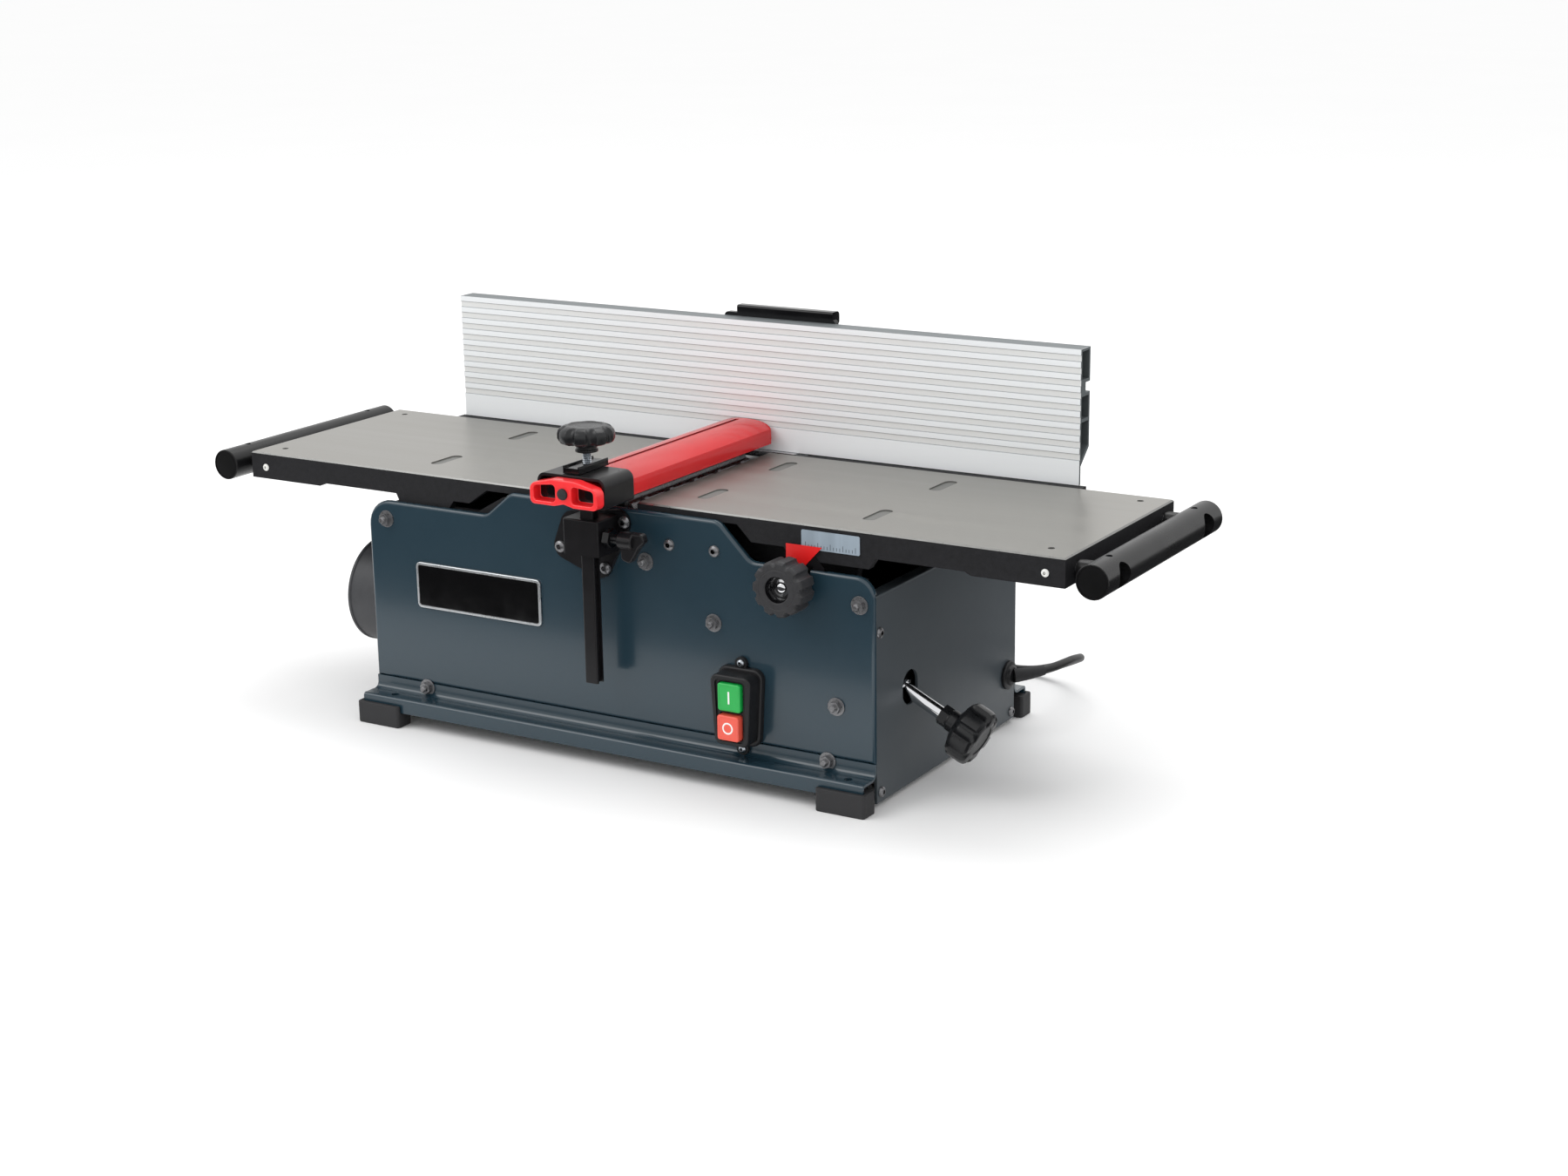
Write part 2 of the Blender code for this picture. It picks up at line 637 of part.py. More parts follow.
# ---- fence --------------------------------------------------------------------------
def fence_outline():
    """Ribbed face over a plain foot; taper, flat back and a nut slot behind."""
    front = []
    pitch = 11.0
    top = FENCE_TOP
    for i in range(9):
        high = top - i * pitch
        front += [(FENCE_FRONT, high), (FENCE_FRONT, high - 5.2),
                  (FENCE_FRONT + 0.8, high - 5.6), (FENCE_FRONT + 0.8, high - 10.6)]
    front += [(FENCE_FRONT, top - 9 * pitch), (FENCE_FRONT, FENCE_BOTTOM)]
    back = FENCE_FRONT + FENCE_DEPTH
    rear = [(FENCE_FRONT + 3, FENCE_BOTTOM), (FENCE_FRONT + 3, 257), (back, 272), (back, 322),
            (back - 9, 322), (back - 9, 331), (back, 331), (back, top)]
    return front + rear


def fence():
    bar = add_part("fence", prism(fence_outline(), "X", FENCE_LEFT, FENCE_RIGHT), "anodised")
    front = FENCE_FRONT + 3
    back = FENCE_FRONT + FENCE_DEPTH - 2.5
    upper = [(front, 334), (back, 334), (back, FENCE_TOP - 2.5), (front, FENCE_TOP - 2.5)]
    middle = [(front, 299), (back, 299), (back, 319), (front, 319)]
    lower = [(front, 262), (back, 274), (back, 296), (front, 296)]
    for hollow in (upper, middle, lower):
        cut(bar, prism(hollow, "X", FENCE_LEFT - 5, FENCE_RIGHT + 5))


def knuckle(first, last, steps):
    """Points on the hinge knuckle's rim, in (y, z), between two angles in degrees."""
    out = []
    for i in range(steps + 1):
        angle = math.radians(first + (last - first) * i / steps)
        out.append((HINGE_Y + KNUCKLE_R * math.cos(angle), HINGE_Z + KNUCKLE_R * math.sin(angle)))
    return out


def fence_bracket():
    """Back plate with two hinge arms and the pin fixed in them; its top stands above the fence."""
    y0 = FENCE_FRONT + FENCE_DEPTH + GAP
    y1 = y0 + 6
    plate = add_part("fence_bracket", box((-46, y0, 277), (75, y1, 365)), "black_steel")
    join(plate, box((-32, y0, 360), (72, y0 + 13, 372)))
    arm = knuckle(131, 311, 8) + [(y1, 256.6), (y1, 290), (y0, 290), (y0, 263.2)]
    for x0, x1 in ((ARM_X[0] - 11, ARM_X[0] - 0.4), (ARM_X[1] + 0.4, ARM_X[1] + 11)):
        join(plate, prism(arm, "X", x0, x1))
    join(plate, disc("X", HINGE_Y, HINGE_Z, PIN_R, ARM_X[0] - 12, ARM_X[1] + 12, 20))


def hull(points):
    """Convex outline round a set of points, anticlockwise."""
    points = sorted(set(points))

    def half(ordered):
        chain = []
        for p in ordered:
            while len(chain) > 1:
                (ax, ay), (bx, by) = chain[-2], chain[-1]
                if (bx - ax) * (p[1] - ay) - (by - ay) * (p[0] - ax) > 0:
                    break
                chain.pop()
            chain.append(p)
        return chain[:-1]
    return half(points) + half(points[::-1])


def fence_carriage():
    """Plate that slides on the rail; its split front barrel grips the hinge pin."""
    low = TABLE_TOP + 0.5
    barrel = [(y, max(z, low)) for y, z in knuckle(29, 331, 14)]
    tail = [(280, barrel[-1][1]), (280, 248.8), (barrel[0][0], 248.8)]
    plate = add_part("fence_carriage", prism(barrel + tail, "X", *ARM_X), "black_steel")
    join(plate, box((-35, 276, low), (65, 400, 249)))
    join(plate, box((-33, 324, 248), (-27, 396, 262)), box((57, 324, 248), (63, 396, 262)))
    add_part("fence_guide_key", box((7, 374, 236.5), (23, 398, low - GAP)), "bright_steel")
    x0, x1 = ARM_X
    cut(plate, disc("X", HINGE_Y, HINGE_Z, PIN_R + 0.1, x0 - 2, x1 + 2, 20))
    cut(plate, box((x0 - 2, HINGE_Y, 244.6), (x1 + 2, 272, 245.4)))
    x, y = TILT_CLAMP
    cut(plate, disc("Z", x, y, 2.9, 238, 252, 16))


def fence_rail():
    x0, x1 = RAIL_X
    rail = add_part("fence_rail", box((x0, 224, RAIL_TOP - 6), (x1, RAIL_REAR, RAIL_TOP)), "bright_steel")
    cut(rail, box((6.5, 230, RAIL_TOP - 10), (23.5, 402, RAIL_TOP + 4)))


def fence_rail_bracket():
    x0, x1 = RAIL_X
    y0 = CASE_REAR + GAP
    top = RAIL_TOP - 6 - GAP
    upright = box((x0, y0, 120), (x1, y0 + 6, top))
    bracket = add_part("fence_rail_bracket", upright, "cast_black")
    shelf_profile = [(y0 + 3, top - 6), (400, top - 6), (400, top), (y0 + 3, top)]
    for a, b in ((x0, x0 + 18), (x1 - 18, x1)):
        join(bracket, prism(shelf_profile, "X", a, b))
        gusset = [(y0 + 3, 132), (y0 + 3, top - 3), (392, top - 3), (392, top - 12)]
        middle = (a + b) / 2
        join(bracket, prism(gusset, "X", middle - 3, middle + 3))


def fence_tilt_lever():
    """Flat lever whose screw pinches the carriage's split barrel."""
    x, y = TILT_CLAMP
    low = 249 + GAP
    profile = [(2.5, 0), (2.5, low - 241), (7.0, low - 241), (7.0, low - 236.5), (5.5, low - 235)]
    part = add_part("fence_tilt_lever", turned(profile, (x, y, 241), (0, 0, 1), 20), "black_plastic")
    arm = rounded([(x + 3, y, 0), (x + 2.2, y + 36, 0), (x + 4.0, y + 50, 3.5), (x - 4.0, y + 50, 3.5),
                   (x - 2.2, y + 36, 0), (x - 3, y, 0)])
    join(part, prism(arm, "Z", low + 0.1, low + 4.2))


def fence_slide_lever():
    """Clamp lever at the carriage's rear: a turned hub and a rising arm with a round grip."""
    x, y = 15, 386
    low = 249 + GAP
    hub = turned([(9, 0), (9, 13), (7, 15)], (x, y, low), (0, 0, 1), 20)
    part = add_part("fence_slide_lever", hub, "black_plastic")
    arm = turned([(4.0, 0), (3.4, 37), (5.5, 50), (5.5, 60), (4.0, 62)], (x, y, low + 8),
                 (1, 0, 0.25), 12)
    join(part, arm)


# ---- cutterhead, drive and dust -----------------------------------------------------
def cutterhead():
    profile = [(7.45, 0), (7.45, 9), (28.4, 9), (28.4, 209.6), (7.45, 209.6), (7.45, 247)]
    head = turned(profile, (CUTTER_X, 1.2, CUTTER_Z), (0, 1, 0), 40)
    add_part("cutterhead", head, "bright_steel")


def bearing(name, y0):
    at = (CUTTER_X, y0, CUTTER_Z)
    add_part(name, ring(7.6, 15, 8, at, (0, 1, 0), 32), "bright_steel")


def pulley(name, centre, bore, radius):
    x, z = centre
    add_part(name, ring(bore + GAP, radius, 18, (x, 229, z), (0, 1, 0), 32), "motor_grey")


def motor():
    x, z = MOTOR_AT
    profile = [(38, 0), (46, 8), (46, 150), (38, 160), (14, 160), (14, 164)]
    body = turned(profile, (x, 42, z), (0, 1, 0), 32)
    part = add_part("motor_body", body, "motor_grey")
    join(part, box((x - 26, 70, 30 + GAP), (x + 26, 180, 48)))
    shaft = disc("Y", x, z, 8.0, 206 + GAP, 248, 20)
    add_part("motor_shaft", shaft, "bright_steel")


def belt_path(extra):
    x, z = MOTOR_AT
    return hull(circle(CUTTER_X, CUTTER_Z, 14 + extra, 32) + circle(x, z, 24 + extra, 32))


def drive_belt():
    belt = add_part("drive_belt", prism(belt_path(GAP + 3.2), "Y", 231, 245), "rubber")
    cut(belt, prism(belt_path(GAP + 0.1), "Y", 229, 247))


def dust_chute():
    """Hollow duct from below the cutterhead to the dust port."""
    def loft(grow):
        y, z = PORT_AT
        ends = []
        ends.append([(-40 - grow, 14 - grow, 176), (34 + grow, 14 - grow, 176),
                     (34 + grow, 208 + grow, 176), (-40 - grow, 208 + grow, 176)])
        ends.append([(-150, 14 - grow, 150 + grow), (-60, 14 - grow, 46 - grow),
                     (-60, 180 + grow, 46 - grow), (-150, 180 + grow, 150 + grow)])
        side = 36 + grow
        ends.append([(-276, y - side, z + side), (-276, y - side, z - side),
                     (-276, y + side, z - side), (-276, y + side, z + side)])
        if grow == 0:
            ends[0] = [(a, b, c + 4) for a, b, c in ends[0]]
            ends[2] = [(a - 4, b, c) for a, b, c in ends[2]]
        bm = bmesh.new()
        rows = [[bm.verts.new(p) for p in end] for end in ends]
        for low, high in zip(rows, rows[1:]):
            for i in range(4):
                j = (i + 1) % 4
                bm.faces.new((low[i], low[j], high[j], high[i]))
        bm.faces.new(rows[0])
        bm.faces.new(rows[-1])
        bmesh.ops.triangulate(bm, faces=bm.faces)
        return bm
    chute = add_part("dust_chute", loft(2.5), "black_plastic")
    cut(chute, loft(0))


def dust_port():
    y, z = PORT_AT
    length = 53
    face = CASE_LEFT - GAP
    collar = ring(46.5, 50, length, (face, y, z), (-1, 0, 0), 48)
    port = add_part("dust_port", collar, "black_plastic")
    flange = ring(46.5, 60, 4, (face, y, z), (-1, 0, 0), 48)
    join(port, flange)


# ---- small case fittings ------------------------------------------------------------
def name_badge():
    plate = rectangle(-226, 114, -85, 157.5, 4)
    add_part("name_badge", prism(plate, "Y", CASE_FRONT - 2.0, CASE_FRONT - GAP), "badge")


def switch_housing():
    x = 126.5
    base = rounded([(x - 19, 38, 7), (x + 19, 38, 7), (x + 23, 108, 8), (x - 23, 108, 8)])
    housing = add_part("switch_housing", prism(base, "Y", CASE_FRONT - 6, CASE_FRONT - GAP), "black_plastic")
    tower = rounded([(x - 16.5, 42, 6), (x + 16.5, 42, 6), (x + 20.5, 105, 7), (x - 20.5, 105, 7)])
    join(housing, prism(tower, "Y", -27, CASE_FRONT - 4))
    for z in (111, 34.5):
        join(housing, disc("Y", x, z, 6.0, CASE_FRONT - 5, CASE_FRONT - GAP - 0.1, 16))
    cut(housing, prism(rectangle(x - 12.4, 72.6, x + 12.4, 99.6, 2.5), "Y", -30, -14))
    cut(housing, prism(rectangle(x - 11.8, 47.0, x + 11.8, 71.6, 2.5), "Y", -30, -14))


def button(name, z0, z1, half, front, material):
    x = 126.5
    add_part(name, prism(rectangle(x - half, z0, x + half, z1, 2.2), "Y", front, -19), material)


def cord_gland():
    y, z = GLAND_AT
    face = CASE_RIGHT + GAP
    profile = [(13.5, 0), (13.5, 2.5), (11, 5), (7, 6), (6, 6.4)]
    add_part("cord_gland", turned(profile, (face, y, z), (1, 0, 0), 20), "black_plastic")


# ---- power cord ---------------------------------------------------------------------
def cord_route():
    """Hand-placed (x, y, z) points from the gland to the coil."""
    end_y = COIL_AT[1] + COIL_R + 2 * CORD_R
    return [(265.8, 250.2, 49.4), (271, 254.3, 49.9), (277, 259.5, 50.5), (283.5, 266.5, 51.2),
            (288, 275, 51.9), (290.5, 286, 52.2), (291, 300, 51.8), (290.5, 315, 50.2),
            (288.5, 331, 47.0), (284.5, 347, 42.6), (277, 361.5, 37.0), (266, 374.5, 30.0),
            (252, 385, 22.0), (235, 391.8, 13.6), (214, 395.8, 6.8), (195, end_y, CORD_REST + 0.2),
            (178.3, end_y, CORD_REST)]


def smooth(points, spacing):
    """Even points on a Catmull-Rom curve through a route."""
    knots = [Vector(p) for p in points]
    knots = [knots[0] * 2 - knots[1]] + knots + [knots[-1] * 2 - knots[-2]]
    fine = []
    for i in range(1, len(knots) - 2):
        a, b, c, d = knots[i - 1:i + 3]
        for k in range(24):
            t = k / 24
            fine.append(0.5 * (2 * b + (c - a) * t + (2 * a - 5 * b + 4 * c - d) * t * t
                               + (3 * b - a - 3 * c + d) * t ** 3))
    fine.append(knots[-2])
    total = sum((q - p).length for p, q in zip(fine, fine[1:]))
    steps = max(2, round(total / spacing))
    out = [fine[0]]
    walked = 0.0
    for p, q in zip(fine, fine[1:]):
        gap = (q - p).length
        while len(out) < steps and walked + gap >= total * len(out) / steps:
            want = total * len(out) / steps
            out.append(p + (q - p) * ((want - walked) / gap))
        walked += gap
    out.append(fine[-1])
    return out


def power_cord():
    points = smooth(cord_route(), 18.0)
    curve = bpy.data.curves.new("power_cord", "CURVE")
    curve.dimensions = "3D"
    curve.bevel_depth = CORD_R * MM
    curve.bevel_resolution = 2
    curve.use_fill_caps = True
    line = curve.splines.new("POLY")
    line.points.add(len(points) - 1)
    for point, (x, y, z) in zip(line.points, points):
        point.co = (x * MM, (y - Y_MID) * MM, z * MM, 1.0)
    curve.materials.append(bpy.data.materials["cord_black"])
    PARTS.objects.link(bpy.data.objects.new("power_cord", curve))


def cord_coil():
    """The stowed turns, three side by side and two high."""
    x, y = COIL_AT
    reach = 3 * CORD_R
    coil = ring(COIL_R - reach, COIL_R + reach, 4 * CORD_R, (x, y, 0.2), (0, 0, 1), 48)
    add_part("cord_coil", coil, "cord_black")


def cord_plug():
    """Round two-pin plug lying beside the coil, with its strain relief and the last of the lead."""
    x = COIL_AT[0] - 28.3
    y = COIL_AT[1] + COIL_R + 2 * CORD_R
    z = 18.6
    profile = [(CORD_R, 0), (CORD_R, 12), (6.5, 14), (8.5, 34), (13, 38), (18, 46), (18.4, 50),
               (18.4, 58), (16.8, 58.5), (16.8, 72)]
    plug = add_part("cord_plug", turned(profile, (x, y, z), (-1, 0, 0), 28), "rubber")
    for side in (-1, 1):
        pin = turned([(2.4, 0), (2.4, 19), (1.4, 21)], (x - 70, y, z + side * 9.5), (-1, 0, 0), 12)
        join(plug, pin)


def main():
    front_panel()
    rear_panel()
    end_panel("left_end_panel", False)
    end_panel("right_end_panel", True)
    for name, left, front in (("foot_front_left", True, True), ("foot_front_right", False, True),
                              ("foot_rear_left", True, False), ("foot_rear_right", False, False)):
        foot(name, left, front)
    base_frame()
    infeed_way("infeed_way_front", 9 + GAP, 40)
    infeed_way("infeed_way_rear", 182, 213 - GAP)
    outfeed_table()
    infeed_table()
    for label, side in (("outfeed", -1), ("infeed", 1)):
        support_bar(label + "_support_bar", side)
        support_rod(label + "_rod_front", side, ROD_Y[0])
        support_rod(label + "_rod_rear", side, ROD_Y[1])
    depth_scale()
    depth_pointer()
    lock_stud()
    depth_lock_knob()
    depth_nut()
    depth_screw()
    depth_adjust_knob()
    guard_post_block()
    guard_post()
    guard_post_lever()
    guard_sleeve()
    guard_bar()
    guard_end_cap()
    guard_clamp_plate()
    guard_clamp_knob()
    fence()
    fence_bracket()
    fence_carriage()
    fence_rail()
    fence_rail_bracket()
    fence_tilt_lever()
    fence_slide_lever()
    cutterhead()
    bearing("bearing_front", 1.0)
    bearing("bearing_rear", 213.0)
    pulley("cutter_pulley", (CUTTER_X, CUTTER_Z), 7.45, 14)
    pulley("motor_pulley", MOTOR_AT, 8.0, 24)
    motor()
    drive_belt()
    dust_chute()
    dust_port()
    name_badge()
    switch_housing()
    button("start_button", 73.6, 98.6, 11.4, -29.5, "green")
    button("stop_button", 48.0, 70.6, 10.8, -32.0, "red_button")
    cord_gland()
    power_cord()
    cord_coil()
    cord_plug()


clear_scene()
PARTS = new_collection("benchtop_jointer")
TOOLS = new_collection("cutting_tools")
make_materials()
main()
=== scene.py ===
"""Detailed looks of the benchtop jointer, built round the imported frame.

Every size is in millimetres with Y = 0 at the tables' front edge, as in the CAD script;
to_world() turns a mesh into the frame's metres.
"""
import json
import math

import bmesh
import bpy
from mathutils import Matrix, Vector


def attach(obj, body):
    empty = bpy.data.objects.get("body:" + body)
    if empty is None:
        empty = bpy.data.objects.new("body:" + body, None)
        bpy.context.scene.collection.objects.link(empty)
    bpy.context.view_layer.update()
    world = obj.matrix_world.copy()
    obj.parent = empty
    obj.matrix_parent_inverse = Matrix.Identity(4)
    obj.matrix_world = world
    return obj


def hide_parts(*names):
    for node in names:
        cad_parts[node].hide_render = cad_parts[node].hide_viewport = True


MM = 0.001
Y_MID = 171.0                            # the frame's Y = 0, measured from the tables' front edge
TOP = 240.0                              # table top
HALF = 425.5                             # half the length over both tables
DEPTH = 222.0                            # table width, front to back
CUTTER = (-4.0, 210.5)                   # (x, z) of the cutterhead
LEFT, RIGHT, FRONT, REAR = -281.0, 256.0, -5.0, 265.0     # outer faces of the case
SHEET = 2.5                              # thickness of the case sheet
FOOT_REACH = 22.0                        # how far the case's foot flanges stand out
GUARD_X = -12.0                          # middle of the guard's post and knob
POST_Y = -29.75                          # Y of the guard's post and knob
HINGE = (238.5, 246.8)                   # (y, z) of the fence's hinge
KNUCKLE_R = 4.4                          # radius of the hinge's knuckles
INCLINE = math.radians(26.0)             # slope of the infeed table's ways
LOCK = (181.0, 191.0)                    # (x, z) of the depth lock
SCREW_Y, SCREW_Z = 57.6, 87.0            # where the depth screw leaves the case
GLAND = (248.0, 49.0)                    # (y, z) of the cord's gland
CORD_R = 4.0                             # radius of the cord
ROD_YS, ROD_Z = (24, 202), 225.5         # the end supports' rods
SLOT_ROWS = (56, 176)                    # Y of the two rows of slots in the tables
FRAME = "machine_frame"


# ---- meshes -------------------------------------------------------------------------
def to_world(bm):
    bmesh.ops.recalc_face_normals(bm, faces=bm.faces)
    bmesh.ops.transform(bm, matrix=Matrix.Translation((0, -Y_MID, 0)), verts=bm.verts)
    bmesh.ops.scale(bm, vec=(MM, MM, MM), verts=bm.verts)


def merged(*parts):
    """Several closed shells as one mesh."""
    out = bmesh.new()
    for part in parts:
        bmesh.ops.recalc_face_normals(part, faces=part.faces)
        mesh = bpy.data.meshes.new("part")
        part.to_mesh(mesh)
        part.free()
        out.from_mesh(mesh)
        bpy.data.meshes.remove(mesh)
    return out


def box(low, high):
    bm = bmesh.new()
    bmesh.ops.create_cube(bm, size=1.0)
    bmesh.ops.scale(bm, vec=Vector(high) - Vector(low), verts=bm.verts)
    bmesh.ops.translate(bm, vec=(Vector(high) + Vector(low)) / 2, verts=bm.verts)
    return bm


def place(axis, u, v, w):
    return {"X": (w, u, v), "Y": (u, w, v), "Z": (u, v, w)}[axis]


def loft(rings):
    """Closed skin through rings of matching points, capped at both ends."""
    bm = bmesh.new()
    rows = [[bm.verts.new(p) for p in ring_] for ring_ in rings]
    count = len(rows[0])
    for low, high in zip(rows, rows[1:]):
        for i in range(count):
            j = (i + 1) % count
            bm.faces.new((low[i], low[j], high[j], high[i]))
    bm.faces.new(rows[0])
    bm.faces.new(rows[-1])
    return bm


def prism(outline, axis, start, end):
    return loft([[place(axis, u, v, w) for u, v in outline] for w in (start, end)])


def rounded(corners, steps=6):
    out = []
    count = len(corners)
    for i, (u, v, radius) in enumerate(corners):
        if not radius:
            out.append((u, v))
            continue
        here = Vector((u, v))
        before = (Vector(corners[i - 1][:2]) - here).normalized()
        after = (Vector(corners[(i + 1) % count][:2]) - here).normalized()
        half = before.angle(after) / 2
        reach = radius / math.tan(half)
        middle = here + (before + after).normalized() * radius / math.sin(half)
        start = here + before * reach - middle
        end = here + after * reach - middle
        turn = start.angle_signed(end)
        for k in range(steps + 1):
            spoke = start.copy()
            spoke.rotate(Matrix.Rotation(-turn * k / steps, 2))
            out.append(tuple(middle + spoke))
    return out


def rectangle(u0, v0, u1, v1, radius=0.0, steps=6):
    return rounded([(u, v, radius) for u, v in ((u0, v0), (u1, v0), (u1, v1), (u0, v1))], steps)


def circle(u, v, radius, segments=48):
    turn = 2 * math.pi / segments
    return [(u + radius * math.cos(turn * (i + 0.5)), v + radius * math.sin(turn * (i + 0.5)))
            for i in range(segments)]


def disc(axis, u, v, radius, start, end, segments=48):
    return prism(circle(u, v, radius, segments), axis, start, end)


def inset(outline, distance):
    """The outline moved inwards by a distance, point by point."""
    area = sum(a[0] * b[1] - b[0] * a[1] for a, b in zip(outline, outline[1:] + outline[:1]))
    side = 1 if area > 0 else -1
    out = []
    count = len(outline)
    for i in range(count):
        a, b, c = (Vector(outline[k % count]) for k in (i - 1, i, i + 1))
        d0 = (b - a).normalized()
        d1 = (c - b).normalized()
        n0 = Vector((-d0.y, d0.x)) * side
        n1 = Vector((-d1.y, d1.x)) * side
        n = (n0 + n1).normalized()
        out.append(tuple(b + n * (distance / max(0.3, n.dot(n0)))))
    return out


def domed(outline, axis, back, front, radius, steps=5):
    """Prism whose rim at the front end is rounded over."""
    way = 1 if front > back else -1
    rings = [[place(axis, u, v, back) for u, v in outline]]
    for k in range(steps + 1):
        turn = math.pi / 2 * k / steps
        rim = inset(outline, radius * (1 - math.cos(turn)) + 1e-4)
        w = front - way * radius * (1 - math.sin(turn))
        rings.append([place(axis, u, v, w) for u, v in rim])
    return loft(rings)


def aim(bm, at, direction, roll=0.0):
    turn = Vector(direction).to_track_quat("Z", "Y").to_matrix().to_4x4()
    matrix = Matrix.Translation(at) @ turn @ Matrix.Rotation(roll, 4, "Z")
    bmesh.ops.transform(bm, matrix=matrix, verts=bm.verts)
    return bm


def turned(profile, at, direction, segments=48, shape=None, closed=False, roll=0.0):
    """Turn (radius, height) points about a line; shape(angle, radius, height) may flute it."""
    bm = bmesh.new()
    rings = []
    for radius, height in profile:
        row = []
        for i in range(segments):
            angle = 2 * math.pi * i / segments
            reach = shape(angle, radius, height) if shape else radius
            row.append(bm.verts.new((reach * math.cos(angle), reach * math.sin(angle), height)))
        rings.append(row)
    pairs = list(zip(rings, rings[1:]))
    if closed:
        pairs.append((rings[-1], rings[0]))
    for low, high in pairs:
        for i in range(segments):
            j = (i + 1) % segments
            bm.faces.new((low[i], low[j], high[j], high[i]))
    if not closed:
        bm.faces.new(rings[0])
        bm.faces.new(rings[-1])
    return aim(bm, at, direction, roll)


def rings(ring, count, pitch):
    """The (radius, height) steps of a thread, repeated along its length."""
    return [(radius, height + k * pitch) for k in range(count) for radius, height in ring]


def hexagon(across, start, end, at, direction, roll=0.0):
    radius = across / 2 / math.cos(math.pi / 6)
    outline = [(radius * math.cos(math.pi / 3 * i), radius * math.sin(math.pi / 3 * i)) for i in range(6)]
    return aim(prism(outline, "Z", start, end), at, direction, roll)


def evaluated(obj):
    graph = bpy.context.evaluated_depsgraph_get()
    return bpy.data.meshes.new_from_object(obj.evaluated_get(graph), depsgraph=graph)


def new_object(name, bm):
    to_world(bm)
    mesh = bpy.data.meshes.new(name)
    bm.to_mesh(mesh)
    bm.free()
    obj = bpy.data.objects.new(name, mesh)
    bpy.context.scene.collection.objects.link(obj)
    return obj


def piece(name, bm, look, body=FRAME, steps=(), bevel=0.5, segments=2, pick=None, nodes=(),
          sharp=40.0):
    """One finished piece: cut and joined, its edges eased, shaded, and riding on a body."""
    obj = new_object(name, bm)
    tools = []
    for way, tool_mesh in steps:
        tool = new_object(name + "_tool", tool_mesh)
        mod = obj.modifiers.new("step", "BOOLEAN")
        mod.operation = way
        mod.solver = "EXACT"
        mod.object = tool
        tools.append(tool)
    if bevel:
        mod = obj.modifiers.new("edges", "BEVEL")
        mod.width = bevel * MM
        mod.segments = segments
        mod.limit_method = "ANGLE"
        mod.angle_limit = math.radians(32)
        mod.use_clamp_overlap = True
    mesh = evaluated(obj)
    obj.modifiers.clear()
    for tool in tools:
        bpy.data.objects.remove(tool, do_unlink=True)
    mesh.shade_smooth()
    mesh.set_sharp_from_angle(angle=math.radians(sharp))
    obj.data = mesh
    mod = obj.modifiers.new("normals", "WEIGHTED_NORMAL")
    mod.keep_sharp = True
    mod.weight = 60
    mesh = evaluated(obj)
    obj.modifiers.clear()
    obj.data = mesh
    mesh.name = name
    looks = look if isinstance(look, (list, tuple)) else [look]
    for item in looks:
        mesh.materials.append(MATS[item])
    if pick:
        for poly in mesh.polygons:
            c = poly.center / MM
            poly.material_index = pick(Vector((c.x, c.y + Y_MID, c.z)), poly.normal)
    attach(obj, body)
    if nodes:
        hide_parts(*nodes)
    return obj


def cut(*meshes):
    return [("DIFFERENCE", bm) for bm in meshes]


def add(*meshes):
    return [("UNION", bm) for bm in meshes]


# ---- materials ----------------------------------------------------------------------
MATS = {}
LOOKS = {"table_iron": "table_ground", "black_steel": "black_satin", "red_button": "stop_red"}
dict.fromkeys(("black_satin", "black_gloss", "bar_black"), "black_steel")
dict.fromkeys(("dark_zinc", "drum_steel", "zinc", "chrome", "nylon", "blued"), "bright_steel")
dict.fromkeys(("knob_black", "knob_grey", "cap_black", "port_grey"), "black_plastic")
dict.fromkeys(("cap_red", "groove_red", "pointer_red"), "guard_red")


def srgb(r, g, b):
    def lin(c):
        c /= 255
        return c / 12.92 if c <= 0.04045 else ((c + 0.055) / 1.055) ** 2.4
    return (lin(r), lin(g), lin(b), 1.0)


